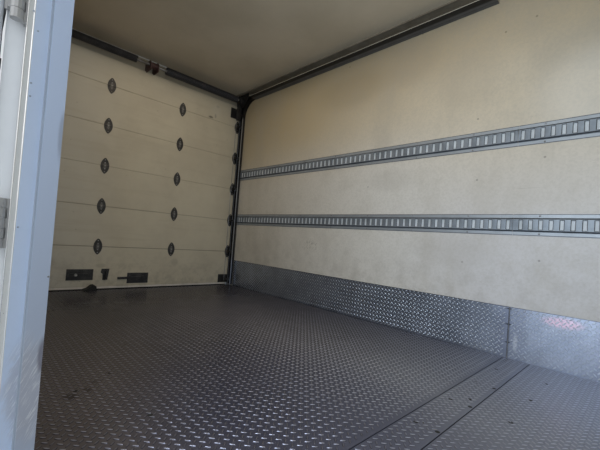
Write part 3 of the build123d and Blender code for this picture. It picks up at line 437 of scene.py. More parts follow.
def roof_finish():
    """Pale fibreglass under the roof and on top of it."""
    f = Finish("roof_skin", 0.35)
    _, _, h = f.axes()
    cloud = f.noise(1.6, 5, 0.6).step(0.35, 0.7)
    fibre = f.noise(40, 4, 0.6, (0.3, 1, 1))
    under = f.mix(cloud, (0.64, 0.56, 0.435), (0.55, 0.48, 0.365))
    above = f.mix(cloud, (0.72, 0.72, 0.71), (0.65, 0.65, 0.63))
    f.surface(f.mix(h > CEILING - FLOOR + 0.01, under, above), 0.45 + fibre * 0.15, fibre, 0.0005, 0.3)


def cove_finish():
    """Top rail: mill aluminium outside; dust-brown and dull under the roof, darkened further as painted
    shade.
    """
    f = Finish("cove_rail", 0.4)
    _, y, _ = f.axes()
    inside = abs(y) < HALF_IN
    cloud = f.noise(7, 5, 0.65)
    bare = f.mix(cloud.step(0.38, 0.68), (0.62, 0.63, 0.64), (0.58, 0.59, 0.6))
    # Under the roof: dust, darkened further as painted shade
    dust_and_shade = f.mix(cloud.step(0.35, 0.7), (0.36, 0.31, 0.24), (0.27, 0.23, 0.17))
    f.set(Metallic=1 - inside * 0.8)
    f.surface(f.mix(inside, bare, dust_and_shade), 0.32 + inside * 0.2 + cloud * 0.15,
              f.noise(150, 3, 0.6, (0.1, 1, 1)))


def ledge_finish():
    """Track ledge: dark steel, its turned-up edge painted bright along the top as a highlight and black
    below it as shade, and its underside painted black away from the wall as shade.
    """
    f = Finish("track_ledge")
    _, y, h = f.axes()
    edge = abs(y)
    turned = edge < HALF_IN - LEDGE_EDGE
    # Painted highlight along the top of the turned-up edge, and painted shade below it
    painted_edge_highlight = turned * (h > LEDGE_TOP - 4.5 * MM)
    painted_lip_shade = turned * (1 - painted_edge_highlight)
    # Painted shade: the underside black away from the wall, dark grey near it
    near_wall = edge.step(HALF_IN - 0.068, HALF_IN - 0.05)
    cloud = f.noise(12, 5, 0.65)
    tone = f.layers(
        f.mix(near_wall, (0.012, 0.012, 0.014), (0.125, 0.13, 0.14)),
        ((abs(edge - (HALF_IN - LEDGE_SEAM)) < 3 * MM) * 0.6, (0.05, 0.05, 0.055)),
        (cloud.step(0.35, 0.7) * 0.3, (0.05, 0.05, 0.055)),
        (painted_lip_shade, (0.006, 0.005, 0.005)),
        (painted_edge_highlight, (0.8, 0.76, 0.66)),
    )
    f.set(Metallic=0.4 - painted_lip_shade * 0.4)
    f.surface(tone, 0.45 + cloud * 0.15, f.noise(150))


def track_finish():
    """Roller track: steel gone dark, with a painted highlight line down its flange and painted shade from
    the bend up; dust-brown where it lies level under the roof, with painted shade over its upper part.
    """
    f = Finish("track")
    u, y, h = f.axes()
    level = u.step(0.3, 0.45)
    lips = abs(y) < HALF_IN - TRACK_LIPS
    cloud = f.noise(7, 5, 0.65).step(0.38, 0.68)
    steel = f.layers(
        f.mix(cloud, (0.034, 0.032, 0.032), (0.02, 0.018, 0.018)),
        (1 - lips, (0.05, 0.05, 0.052)),
        # Painted highlight: a pale line down the flange; painted shade: all of it darker from 2.06 m up,
        # at the bend
        (abs(abs(y) - (HALF_IN - TRACK_LINE)) < 4.5 * MM, (0.5, 0.53, 0.58)),
        (h.step(2.06, 2.11), (0.022, 0.021, 0.021)),
    )
    up = h - TRACK_LEVEL
    shade = (0.1, 0.085, 0.065)
    dust = f.layers(
        f.mix(cloud, (0.4, 0.345, 0.27), (0.3, 0.255, 0.195)),
        # Painted shade over the level run's upper part and in a line along it
        ((up > 20 * MM) * 0.65, shade),
        ((abs(up + 2 * MM) < 2 * MM) * 0.5, shade),
    )
    f.set(Metallic=0.7 - level * 0.5)
    f.surface(f.mix(level, steel, dust), 0.38 + level * 0.2, f.noise(150, 3, 0.6, (0.1, 1, 1)))


def jamb_finish():
    """Side door frame: white gloss tinted cool blue as painted sky light, bluer on the inner stop, greyer
    where people brush past the inner stop, a pale lip on the hinge side, and scraped down to primer at the
    foot."""
    f = Finish("jamb_paint")
    _, y, h = f.axes()
    stop = y > -(HALF_IN + 36 * MM)
    cloud = f.noise(6, 5, 0.65)
    chip = (f.cells(26) < 0.06) * (f.noise(3, 2) > 0.54)
    foot = f.spot((2.705, 2.3, 0.22), (0.12, 0.06, 0.17))
    slant = (math.radians(-24), 0, 0)
    torn = f.noise(20, 5, 0.7, (1, 0.6, 2.2), slant)
    scraped = foot * (foot * 0.35 + torn).step(0.52, 0.72)
    fibres = f.noise(190, 4, 0.65, (1, 0.45, 7), slant).step(0.5, 0.66)
    paint = f.layers(
        # Painted light: the white tinted cool blue as sky light, bluer still on the inner stop
        f.mix(cloud.step(0.4, 0.7) * 0.5, (0.64, 0.74, 0.92), (0.58, 0.67, 0.83)),
        (stop * 0.5, (0.6, 0.72, 0.98)),
        (stop * (1 - h.step(0.1, 1.2)) * 0.6, (0.36, 0.37, 0.39)),
        (y < -(HALF_OUT + 2 * MM), (0.74, 0.74, 0.72)),
        (chip * 0.8, (0.14, 0.12, 0.1)),
        (scraped * 0.75, f.mix(fibres, (0.46, 0.47, 0.53), (0.82, 0.82, 0.83))),
        *f.marks(JAMB_MARKS),
    )
    f.surface(paint, 0.28 + cloud * 0.15 + scraped * 0.3,
              f.noise(120) - chip * 1.2 + scraped * fibres, 0.0006, 0.4)


def cover_finish():
    """White strip, painted tan as shade along the edge next to the jamb."""
    f = Finish("hinge_cover")
    _, y, _ = f.axes()
    cloud = f.noise(6, 5, 0.65)
    white = f.mix(cloud.step(0.4, 0.7), (0.96, 0.97, 0.99), (0.92, 0.93, 0.95))
    tan = f.mix(cloud.step(0.4, 0.7), (0.95, 0.89, 0.8), (0.9, 0.83, 0.73))
    # Painted shade: the tan edge next to the jamb
    f.surface(f.mix(y > -(HALF_OUT + COVER_EDGE), white, tan), 0.3 + cloud * 0.15,
              f.noise(30), 0.0003, 0.3)


def door_foot_finish():
    """Pale edge strip over a black rubber foot."""
    f = Finish("door_foot", 0.4)
    _, _, h = f.axes()
    strip = h > 8 * MM
    cloud = f.noise(14, 5, 0.7)
    pale = f.mix(cloud.step(0.4, 0.7), (0.78, 0.73, 0.66), (0.66, 0.61, 0.54))
    f.surface(f.mix(strip, (0.02, 0.02, 0.02), pale), 0.6 - strip * 0.15 + cloud * 0.1,
              f.noise(180))


def fitting_finish():
    """Lock and bolt of the roll-up door: grey-black, the knob worn bright."""
    f = Finish("door_fittings", metallic=0.4)
    cloud = f.noise(12, 5, 0.7)
    knob = f.spot((-0.02, 1.667, 0.143), (0.1, 0.018, 0.018))
    tone = f.mix(cloud.step(0.4, 0.7), (0.035, 0.035, 0.038), (0.075, 0.072, 0.07))
    f.surface(f.mix(knob, tone, (0.62, 0.6, 0.56)), 0.4 + cloud * 0.15, f.noise(150), 0.0003, 0.3)


def white_paint_finish():
    """Gloss white with dirt in streaks and small chips."""
    f = Finish("white_paint")
    cloud = f.noise(6, 5, 0.65)
    streak = f.noise(9, 5, 0.7, (1, 1, 0.12)).step(0.55, 0.8)
    chip = (f.cells(26) < 0.06) * (f.noise(3, 2) > 0.52)
    paint = f.layers(
        f.mix(cloud.step(0.4, 0.7) * 0.5, (0.74, 0.77, 0.81), (0.64, 0.67, 0.71)),
        (streak * 0.45, (0.42, 0.42, 0.41)),
        (chip * 0.8, (0.14, 0.12, 0.1)),
    )
    f.surface(paint, 0.28 + cloud * 0.2, f.noise(120) - chip * 1.2, 0.0004, 0.3)


def chequer_finish(name, base, worn, marks):
    """Raised-lug sheet: dull between the lugs, scuffed in places, with dark grease marks, worn
    smooth toward the roll-up door, and a dark rim along the kick plates' top."""
    f = Finish(name, metallic=0.85)
    u, _, h = f.axes()
    cloud = f.noise(3, 5, 0.65)
    rub = f.noise(11, 6, 0.7, (0.5, 1, 1)).step(0.42, 0.68)
    grain = f.noise(180, 3, 0.6)
    grease = f.noise(2.1, 3, 0.6).step(0.58, 0.74)
    streak = f.noise(14, 4, 0.7, (1, 1, 0.1)).step(0.48, 0.68)
    tone = f.layers(
        f.mix(cloud.step(0.35, 0.7), base, worn),
        (rub * 0.16, (0.38, 0.38, 0.42)),
        (streak * 0.35, base),
        (grease * 0.35, (0.04, 0.038, 0.042)),
        *f.marks(marks),
        ((h > KICK_HIGH - 2.5 * MM) * 0.8, (0.02, 0.022, 0.03)),
    )
    f.surface(tone, 0.27 + cloud * 0.12 + grain * 0.08 - (1 - u.step(0.3, 1.8)) * 0.13,
              grain * 0.5 + f.noise(40), 0.0003, 0.35)


def rail_finish():
    """Galvanised rail: painted shade in a dark line round its edge and along the foot of the band."""
    f = Finish("galvanised", metallic=0.6)
    _, y, h = f.axes()
    rows = [abs(h - middle) for middle, *_ in SLOT_ROWS]
    away = rows[0].math("MINIMUM", *rows)
    # Painted shade: dark lines along the rail's edges and the foot of the band
    line = (away > RAIL_HIGH / 2 - 4 * MM) * 0.75 + (abs(away - 37 * MM) < 3 * MM) * 0.85
    cloud = f.noise(7, 5, 0.65)
    grain = f.noise(150, 3, 0.6, (0.1, 1, 1))
    tone = f.layers(
        f.mix(cloud.step(0.38, 0.68), (0.26, 0.29, 0.325), (0.19, 0.215, 0.245)),
        ((away > RAIL_HIGH / 2 - RAIL_FLANGE) * 0.5, (0.48, 0.51, 0.54)),
        ((line * (abs(y) < HALF_IN + MM)).clamp(), (0.05, 0.055, 0.065)),
    )
    f.surface(tone, 0.46 + cloud * 0.1 + grain * 0.06, grain)


def hinge_plate_finish():
    """Blackened leaf, worn lighter round the pin."""
    f = Finish("hinge_plate", metallic=0.3)
    _, y, h = f.axes()
    across = y.off_middle(HALF_IN - HINGE_EDGE, HINGE_PITCH) / 0.017
    along = h.off_middle(DOOR_JOINTS[0], JOINT_PITCH) / 0.04
    reach = across * across + along * along
    tone = f.layers(
        f.mix(f.noise(14, 4).step(0.4, 0.7), (0.045, 0.044, 0.044), (0.075, 0.07, 0.066)),
        (1 - reach.step(0.35, 1), (0.15, 0.145, 0.138)),
        ((1 - reach.step(0.03, 0.08)) * 0.8, (0.42, 0.41, 0.39)),
    )
    f.surface(tone, 0.42 + f.noise(60) * 0.1, f.noise(150))


def lug_finish(name, ridge):
    """Floor lugs: the ridge worn bright and painted brighter as a glint, brighter toward the front on the
    road side as painted light, darker toward the roll-up door as painted shade, and dirty on the slopes.
    """
    f = Finish(name, metallic=0.9)
    u, y, h = f.axes()
    cloud = f.noise(5, 5, 0.65)
    # Painted light: lugs brighter toward the front on the road side
    front = u.step(1.3, 3.2) * y.step(-0.4, 0.3)
    bright = f.layers(
        ridge,
        (cloud.step(0.38, 0.68) * 0.35, (0.1, 0.1, 0.12)),
        # Painted shade: darker toward the roll-up door
        ((1 - u.step(0.3, 2.2)) * 0.75, (0.075, 0.07, 0.08)),
        (front * 0.45, (0.66, 0.69, 0.78)),
    )
    slope = f.mix(front, (0.075, 0.074, 0.095), (0.4, 0.42, 0.48))
    f.surface(f.mix(h > LUG_HIGH * 0.72, slope, bright), 0.24 + cloud * 0.12, f.noise(60))


def metal_finish(name, base, dull, roughness, metallic=1, grain_scale=150):
    """Bare or plated metal, or painted trim, with a drawn grain and duller patches."""
    f = Finish(name, metallic=metallic)
    cloud = f.noise(7, 5, 0.65)
    grain = f.noise(grain_scale, 3, 0.6, (0.1, 1, 1))
    tone = f.layers(base, (cloud.step(0.38, 0.68), dull), (grain.step(0.55, 0.8) * 0.2, dull))
    f.surface(tone, roughness + cloud * 0.15 + grain * 0.06, grain)


def coated_finish(name, base, dust, roughness=0.42, metallic=0):
    """Paint, coating or rubber with paler dust on it."""
    f = Finish(name, 0.45, metallic)
    cloud = f.noise(10, 5, 0.7)
    speck = f.noise(90, 3, 0.7).step(0.55, 0.8)
    tone = f.layers(base, (cloud.step(0.42, 0.72) * 0.5, dust), (speck * 0.25, dust))
    f.surface(tone, roughness + cloud * 0.2, f.noise(220), 0.0003, 0.35)


def bracket_finish():
    """Spring shaft's brackets: red oxide on the middle one, black at the ends."""
    f = Finish("bracket_paint", 0.45)
    _, y, _ = f.axes()
    dust = f.noise(10, 5, 0.7).step(0.42, 0.72)
    oxide = f.mix(dust, (0.055, 0.02, 0.02), (0.1, 0.06, 0.055))
    black = f.mix(dust * 0.5, (0.018, 0.017, 0.017), (0.075, 0.07, 0.062))
    f.surface(f.mix(abs(y) < 0.6, black, oxide), 0.42 + dust * 0.15, f.noise(220), 0.0003, 0.35)


def wood_finish():
    """Hardwood strips glued side by side, their grain along the body."""
    f = Finish("deck_wood", 0.3)
    _, _, h = f.axes()
    flat = f.node("Mapping", Vector=f.place(), Scale=(1, 1, 0))
    strip = f.node("TexBrick", {"offset": 0.5}, out="Fac", Vector=flat, Scale=1,
                   Mortar_Size=0.0012, Brick_Width=0.9, Row_Height=0.034)
    grain = f.noise(60, 5, 0.65, (0.06, 1, 1))
    tone = f.layers(
        f.mix(grain.step(0.35, 0.7), (0.3, 0.19, 0.1), (0.19, 0.11, 0.055)),
        (strip * 0.7, (0.05, 0.03, 0.02)),
        (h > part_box("floor_deck")[1].z - FLOOR - MM, (0.015, 0.014, 0.014)),
    )
    f.surface(tone, 0.6 + grain * 0.2, grain - strip, 0.0005, 0.4)


def lens_finish(name, base, deep):
    """Coloured lens with moulded ribs."""
    f = Finish(name, 0.6, Coat_Weight=0.6, Coat_Roughness=0.05)
    _, y, h = f.axes()
    ribs, cross = (way.math("SINE", way * 520) for way in (y, h + FLOOR))
    f.surface(f.mix(ribs.step(-1, 1) * 0.5, base, deep), 0.18, ribs + cross, 0.0006, 0.5)


# Finishes made once, and the kinds that are made more than once: the name, then the kind's values
SINGLE = (wall_finish, end_wall_finish, leaf_finish, roof_finish, cove_finish, ledge_finish,
          track_finish, jamb_finish, cover_finish, door_foot_finish, fitting_finish, white_paint_finish,
          rail_finish, hinge_plate_finish, bracket_finish, wood_finish)
ALIKE = {
    board_finish: (("door_board", "rear_door_panels"), ("header_liner", "rear_header")),
    chequer_finish: (
        ("chequer_plate", (0.078, 0.078, 0.104), (0.121, 0.121, 0.157), FLOOR_MARKS),
        ("kick_plate", (0.2, 0.226, 0.285), (0.285, 0.32, 0.4), KICK_MARKS),
    ),
    # The two lug finishes are lit and shaded copies: one direction's ridges painted bright as glints, the
    # other's darker as shade
    lug_finish: (("worn_lit_lug", (0.56, 0.58, 0.72)), ("shaded_lug", (0.22, 0.22, 0.28))),
    metal_finish: (
        ("kick_lug", (0.5, 0.55, 0.64), (0.36, 0.39, 0.45), 0.28, 0.9, 60),
        ("pale_trim", (0.86, 0.85, 0.83), (0.74, 0.72, 0.69), 0.4, 0),
        ("trim_bead", (0.9, 0.91, 0.92), (0.8, 0.8, 0.8), 0.12),
        ("hinge_barrel", (0.5, 0.5, 0.5), (0.4, 0.385, 0.36), 0.42, 0.4),
        # Near-black for the slots' curls, as painted shade
        ("slot_curl_shade", (0.03, 0.034, 0.038), (0.055, 0.06, 0.065), 0.5, 0.6),
        ("slot_back", (0.6, 0.63, 0.66), (0.48, 0.51, 0.53), 0.55, 0.1),
        ("extrusion", (0.62, 0.63, 0.64), (0.58, 0.59, 0.6), 0.36),
        ("steel", (0.36, 0.36, 0.37), (0.2, 0.19, 0.18), 0.38),
    ),
    coated_finish: (
        # frame_seal: grey rubber, tinted blue as painted sky light and shade like the jamb round it
        ("frame_seal", (0.4, 0.45, 0.53), (0.5, 0.55, 0.62), 0.5),
        ("black_steel", (0.018, 0.017, 0.017), (0.075, 0.07, 0.062)),
        ("joint_strip", (0.34, 0.3, 0.23), (0.42, 0.375, 0.29), 0.5),
        ("spring_steel", (0.04, 0.04, 0.047), (0.1, 0.1, 0.11), 0.4, 0.3),
        ("chassis_black", (0.02, 0.02, 0.021), (0.1, 0.09, 0.08), 0.5),
        ("rubber", (0.014, 0.014, 0.014), (0.06, 0.058, 0.054), 0.6),
    ),
    lens_finish: (
        ("lamp_red", (0.42, 0.008, 0.008), (0.2, 0.003, 0.003)),
        ("lamp_amber", (0.75, 0.2, 0.01), (0.42, 0.09, 0.004)),
    ),
}

# Nodes whose finish isn't the one that the record's slot names
OWN_FINISH = dict(
    front_wall="front_wall_panel", side_door_leaf="side_door_panel", kick_plates="kick_plate",
    door_tracks="track", rear_header="header_liner", top_rails="cove_rail",
    track_ledges="track_ledge", side_door_frame="jamb_paint", side_door_seal="frame_seal",
    side_hinges_fixed="hinge_barrel", side_hinges_moving="hinge_barrel",
    door_hinges_middle="hinge_plate", rear_door_seal="door_foot",
    rear_door_fittings="door_fittings", shaft_brackets="bracket_paint",
)


def paint_nodes():
    """Makes the finishes, and gives every node of the frame its own."""
    for make in SINGLE:
        make()
    for make, rows in ALIKE.items():
        for values in rows:
            make(*values)
    slots = {part["node"]: part["material_slot"] for part in frame["record"]["subparts"]}
    for name, piece in frame["nodes"].items():
        piece.data.materials.clear()
        piece.data.materials.append(FINISHES[OWN_FINISH.get(name, slots[name])])
        for polygon in piece.data.polygons:
            polygon.material_index = 0


# Modelling helpers


QUARTER = math.radians(90)


def activate(*pieces):
    bpy.ops.object.select_all(action="DESELECT")
    for piece in pieces:
        piece.select_set(True)
    bpy.context.view_layer.objects.active = pieces[0]


def settle(piece, **changes):
    """Turns, scales or moves a piece, and keeps that in its mesh."""
    for key, value in changes.items():
        setattr(piece, key, value)
    activate(piece)
    bpy.ops.object.transform_apply(location=True, rotation=True, scale=True)


def primitive(add, **settings):
    """A new piece from one of Blender's own shapes."""
    bpy.ops.object.select_all(action="DESELECT")
    add(**settings)
    piece = bpy.context.active_object
    settle(piece)
    return piece


def block(low, high):
    """Box between two corners."""
    low, high = Vector(low), Vector(high)
    return primitive(bpy.ops.mesh.primitive_cube_add, size=1, location=(low + high) / 2, scale=high - low)


def edit(piece, action="SELECT"):
    """Goes into edit mode on one piece, with everything or nothing selected."""
    activate(piece)
    bpy.ops.object.mode_set(mode="EDIT")
    bpy.ops.mesh.select_all(action=action)


def leave_edit():
    bpy.ops.object.mode_set(mode="OBJECT")


def pick(piece, kind, wanted):
    """Goes into edit mode with the points, edges or faces selected for which wanted holds."""
    edit(piece, "DESELECT")
    bpy.ops.mesh.select_mode(type=kind)
    leave_edit()
    mesh = piece.data
    for part in {"VERT": mesh.vertices, "EDGE": mesh.edges, "FACE": mesh.polygons}[kind]:
        part.select = bool(wanted(part))
    bpy.ops.object.mode_set(mode="EDIT")


def lift(piece, wanted, way):
    """Moves the points for which wanted(place) holds."""
    pick(piece, "VERT", lambda point: wanted(point.co))
    bpy.ops.transform.translate(value=way)
    leave_edit()


def cut(place, across, **settings):
    """Cuts the piece in edit mode along a plane."""
    bpy.ops.mesh.select_all(action="SELECT")
    bpy.ops.mesh.bisect(plane_co=place, plane_no=across, **settings)


def extrude(way):
    bpy.ops.mesh.extrude_region_move(TRANSFORM_OT_translate={"value": way})


def face_out(piece):
    edit(piece)
    bpy.ops.mesh.normals_make_consistent(inside=False)
    leave_edit()


def modify(piece, kind, **settings):
    """Adds a modifier and applies it."""
    activate(piece)
    bpy.ops.object.modifier_add(type=kind)
    modifier = piece.modifiers[-1]
    for key, value in settings.items():
        setattr(modifier, key, value)
    bpy.ops.object.modifier_apply(modifier=modifier.name)


def row(piece, count, step, **settings):
    """Repeats a piece count times, each a step further."""
    modify(piece, "ARRAY", count=count, use_relative_offset=False, use_constant_offset=True,
           constant_offset_displace=step, **settings)


def join(pieces):
    activate(*pieces)
    bpy.ops.object.join()
    return bpy.context.view_layer.objects.active


def at_places(piece, places):
    """One joined piece with a copy of the model at each place."""
    copies = []
    for place in places:
        activate(piece)
        bpy.ops.object.duplicate()
        copies.append(bpy.context.view_layer.objects.active)
        copies[-1].location = place
    bpy.data.objects.remove(piece)
    return join(copies)


def finish(piece, name, coat, smooth=40):
    """Names a piece, gives it its finish, unless that is None, and lets it ride on the body."""
    settle(piece)
    piece.name = name
    piece.data.name = name
    if smooth:
        bpy.ops.object.shade_smooth_by_angle(angle=math.radians(smooth))
    if coat:
        piece.data.materials.clear()
        piece.data.materials.append(FINISHES[coat])
    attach(piece, "cargo_body")
    return piece


def facing(piece, way):
    """Turns what was modelled upright to face a way."""
    settle(piece, rotation_euler=Vector((0, 0, 1)).rotation_difference(Vector(way)).to_euler())


def dome(radius, high, way, segments=10):
    """Rivet or bolt head: the top of a flattened ball, its foot on the origin."""
    piece = primitive(bpy.ops.mesh.primitive_uv_sphere_add, segments=segments, ring_count=6, radius=radius)
    settle(piece, scale=(1, 1, high / radius))
    edit(piece)
    cut((0, 0, 0), (0, 0, 1), clear_inner=True, use_fill=True)
    leave_edit()
    facing(piece, way)
    return piece


# Floor and kick plates

# A lug is a long hexagon, which is this much wider over its corners, and narrows to its ridge
HEXAGON = 1.15
RIDGE = (0.7, 0.42, 1)


def lug(turn):
    """One raised lug, closed, lying on the origin and turned about its upright axis."""
    piece = primitive(bpy.ops.mesh.primitive_circle_add, vertices=6, radius=0.5, fill_type="NGON")
    settle(piece, scale=(LUG_LONG, LUG_WIDE * HEXAGON, 1))
    edit(piece)
    extrude((0, 0, LUG_HIGH))
    bpy.ops.transform.resize(value=RIDGE)
    leave_edit()
    face_out(piece)
    settle(piece, rotation_euler=(0, 0, turn))
    return piece


def lug_field(length, width, turn, shift):
    """Lugs of one direction over a sheet that starts at the origin, clear of its edges."""
    margin = LUG_LONG / 2
    first = margin + shift
    piece = lug(turn)
    settle(piece, location=(first, first, 0))
    row(piece, int((length - margin - first) / LUG_PITCH) + 1, (LUG_PITCH, 0, 0))
    row(piece, int((width - margin - first) / LUG_PITCH) + 1, (0, LUG_PITCH, 0))
    return piece


def lug_sheet(name, length, width, corner, along, across, *coats):
    """Both directions of lugs of one sheet: its corner, and the ways its length and width run."""
    along, across = Vector(along), Vector(across)
    turn = Matrix((along, across, along.cross(across))).transposed().to_4x4()
    ways = (("left", math.radians(45), 0), ("right", math.radians(-45), LUG_PITCH / 2))
    for (word, slant, shift), coat in zip(ways, coats):
        piece = lug_field(length, width, slant, shift)
        piece.matrix_world = Matrix.Translation(corner) @ turn
        finish(piece, f"{name}_lugs_{word}", coat, None)


# Floor sheets: where the first starts, from the roll-up door, the seams between them, and how far
# the lugs stay clear of a seam, of the walls and of the end wall's corners
FLOOR_START = 0.035
SHEET_SEAMS = (3.105, 3.245)
SEAM_CLEAR = 4 * MM
WALL_CLEAR = 6 * MM
CORNER_CLEAR = 8 * MM

# Side doorway's two ends, and where the kick plates' lugs start, from the roll-up door
DOORWAY_REAR = 2.64
DOORWAY_FRONT = 3.877
KICK_START = 0.095


def floor_lugs():
    first, second = SHEET_SEAMS
    edges = (FLOOR_START, first - SEAM_CLEAR, first + SEAM_CLEAR, second - SEAM_CLEAR,
             second + SEAM_CLEAR, FRONT - DOOR - SEAM_CLEAR)
    for number, (start, end) in enumerate(zip(edges[::2], edges[1::2])):
        corner = (DOOR + start, WALL_CLEAR - HALF_IN, FLOOR)
        lug_sheet(f"floor_sheet_{number + 1}", end - start, 2 * HALF_IN - 2 * WALL_CLEAR, corner,
                  (1, 0, 0), (0, 1, 0), "worn_lit_lug", "shaded_lug")


def kick_lugs():
    """Lugs of the plates round the foot of the walls."""
    face = HALF_IN - KICK_METAL
    end_wall = FRONT - DOOR - WALL_CLEAR
    plates = (
        ("kick_road_rear", KICK_START, KICK_JOINT - SEAM_CLEAR, 1),
        ("kick_road_front", KICK_JOINT + SEAM_CLEAR, end_wall, 1),
        ("kick_kerb_rear", KICK_START, DOORWAY_REAR - 2 * MM, -1),
        ("kick_kerb_front", DOORWAY_FRONT, end_wall, -1),
    )
    for name, start, end, side in plates:
        corner = (DOOR + (start if side > 0 else end), side * face, FLOOR)
        lug_sheet(name, end - start, KICK_HIGH, corner, (side, 0, 0), (0, 0, 1), "kick_lug", "kick_lug")
    side = face - CORNER_CLEAR
    lug_sheet("kick_front", 2 * side, KICK_HIGH, (FRONT - KICK_METAL, side, FLOOR), (0, -1, 0),
              (0, 0, 1), "kick_lug", "kick_lug")


# Floor screws: each row's place along the body and its screws' places across, then the lone ones
SCREW_ROWS = (
    (3.151, (0.297, 0.608, 0.915, 1.22, 1.525, 1.83, 2.13)),
    (3.231, (0.612, 0.915, 1.22, 1.525, 1.83, 2.13)),
    (3.377, (0.305, 0.61, 0.916, 1.22, 1.525, 1.83, 2.13)),
)
LONE_SCREWS = ((3.204, 0.841), (2.249, 2.094), (2.14, 1.949), (2.571, 1.944))
SCREW_RAISED = 0.2 * MM


def floor_screws():
    """Countersunk screws that have gone dark, along the sheets' ends."""
    spots = [(u, v) for u, across in SCREW_ROWS for v in across] + list(LONE_SCREWS)
    piece = at_places(dome(9 * MM, 1.2 * MM, (0, 0, 1)), [inner(u, v, SCREW_RAISED) for u, v in spots])
    finish(piece, "floor_screws", "rubber")


# Rails

RAIL_FINISHES = ("galvanised", "slot_curl_shade", "slot_back")

# The slot's mouth curls in: a lip, a slope and a lip, each a share of the curl across and down
MOUTH = ((0.2, 0.1), (0.6, 0.5), (0.2, 0.1))
SLOT_DEEP = 4.5 * MM

# Rails: side, word, node, and where each length starts and ends
RAIL_START = 0.092
RAIL_SIDES = (
    (1, "road", "logistic_rails_road", (RAIL_START, RAIL_JOINT - MM), (RAIL_JOINT + MM, 4.266)),
    (-1, "kerb", "logistic_rails_kerb", (RAIL_START, DOORWAY_REAR)),
)


def rail_cell():
    """Front skin of one pitch of rail: flanges, slopes, the raised band and its drawn-in slot."""
    centre, middle = SLOT_PITCH / 2, RAIL_HIGH / 2
    half_wide, half_high = SLOT_WIDE / 2 + SLOT_CURL, SLOT_HIGH / 2 + SLOT_CURL
    cell = primitive(bpy.ops.mesh.primitive_plane_add, size=1, rotation=(QUARTER, 0, 0))
    settle(cell, scale=(SLOT_PITCH, 1, RAIL_HIGH), location=(centre, 0, middle))
    edit(cell)
    for z in (RAIL_FLANGE, RAIL_BAND, middle - half_high, middle + half_high,
              RAIL_HIGH - RAIL_BAND, RAIL_HIGH - RAIL_FLANGE):
        cut((0, 0, z), (0, 0, 1))
    for x in (centre - half_wide, centre + half_wide):
        cut((x, 0, 0), (1, 0, 0))
    leave_edit()
    low, high = RAIL_BAND - MM, RAIL_HIGH - RAIL_BAND + MM
    lift(cell, lambda place: low < place.z < high, (0, -RAIL_PROUD, 0))
    lift(cell, lambda place: not low < place.z < high, (0, -RAIL_METAL, 0))
    pick(cell, "FACE", lambda face: (face.center.xz - Vector((centre, middle))).length < MM)
    for thin, deep in MOUTH:
        bpy.ops.mesh.inset(thickness=SLOT_CURL * thin, depth=-SLOT_CURL * deep)
    extrude((0, SLOT_DEEP, 0))
    leave_edit()
    # The curl's ring faces take the second finish, near-black as painted shade round the slot's mouth; the
    # back takes the third
    for name in RAIL_FINISHES:
        cell.data.materials.append(FINISHES[name])
    for face in cell.data.polygons:
        across, up = abs(face.center.x - centre), abs(face.center.z - middle)
        if across < half_wide - SLOT_CURL * 0.2 and up < half_high - SLOT_CURL * 0.2:
            ring = across > half_wide - SLOT_CURL * 0.85 or up > half_high - SLOT_CURL * 0.85
            face.material_index = 1 if ring else 2
    return cell


def rail_skin(start, end, level, phase):
    """One length of rail on the road side: cells in a row, with plain metal out to both ends."""
    margin = SLOT_WIDE / 2 + SLOT_CURL
    first = math.ceil((start + margin - phase) / SLOT_PITCH)
    last = math.floor((end - margin - phase) / SLOT_PITCH)
    begin = phase + SLOT_PITCH * (first - 0.5)
    rail = rail_cell()
    row(rail, last - first + 1, (SLOT_PITCH, 0, 0), use_merge_vertices=True, merge_threshold=0.05 * MM)
    stop = SLOT_PITCH * (last - first + 1)
    for place, reach in ((0, start - begin), (stop, end - begin - stop)):
        pick(rail, "EDGE", lambda edge: all(
            abs(rail.data.vertices[i].co.x - place) < 0.1 * MM for i in edge.vertices))
        if reach > 0 and place or reach < 0 and not place:
            extrude((reach, 0, 0))
        else:
            bpy.ops.transform.translate(value=(reach, 0, 0))
        leave_edit()
    face_out(rail)
    if sum(face.normal.y * face.area for face in rail.data.polygons) > 0:
        edit(rail)
        bpy.ops.mesh.flip_normals()
        leave_edit()
    modify(rail, "SOLIDIFY", thickness=RAIL_METAL - 0.3 * MM, offset=-1)
    settle(rail, location=(DOOR + begin, HALF_IN, FLOOR + level))
    return rail


def rails():
    """The slotted rails of both sides, in place of the plain ones."""
    for side, word, node, *spans in RAIL_SIDES:
        pieces = []
        for middle, *phases in SLOT_ROWS:
            for (start, end), phase in zip(spans, phases):
                pieces.append(rail_skin(start, end, middle - RAIL_HIGH / 2, phase))
        piece = join(pieces)
        if side < 0:
            settle(piece, scale=(1, -1, 1))
            face_out(piece)
        finish(piece, f"rails_{word}", None, smooth=35)
        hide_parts(node)


# Rail bolts: the stretch that has them, and their distance over and under a rail's middle
BOLTS_FROM = 0.12
BOLTS_TO = {"road": 4.1, "kerb": 2.6}
BOLT_OFF = 0.054


def rail_bolts():
    """Bolts through both flanges of each rail into every stud."""
    studs = [STUD_LAST - STUD_PITCH * i for i in range(-3, 9)]
    for side, word in ((1, "road"), (-1, "kerb")):
        places = [
            (DOOR + u, side * (HALF_IN - RAIL_METAL), FLOOR + middle + off)
            for middle, *_ in SLOT_ROWS
            for u in studs if BOLTS_FROM < u < BOLTS_TO[word]
            for off in (-BOLT_OFF, BOLT_OFF)
        ]
        piece = at_places(dome(5.5 * MM, 3 * MM, (0, -side, 0)), places)
        finish(piece, f"rail_bolts_{word}", "steel")


# Roll-up door

# Bolts over and under a hinge's pin, and the face of the leaf that they stand on
HINGE_BOLTS = (0.058, 0.03, -0.03, -0.058)
LEAF_FACE = 3 * MM

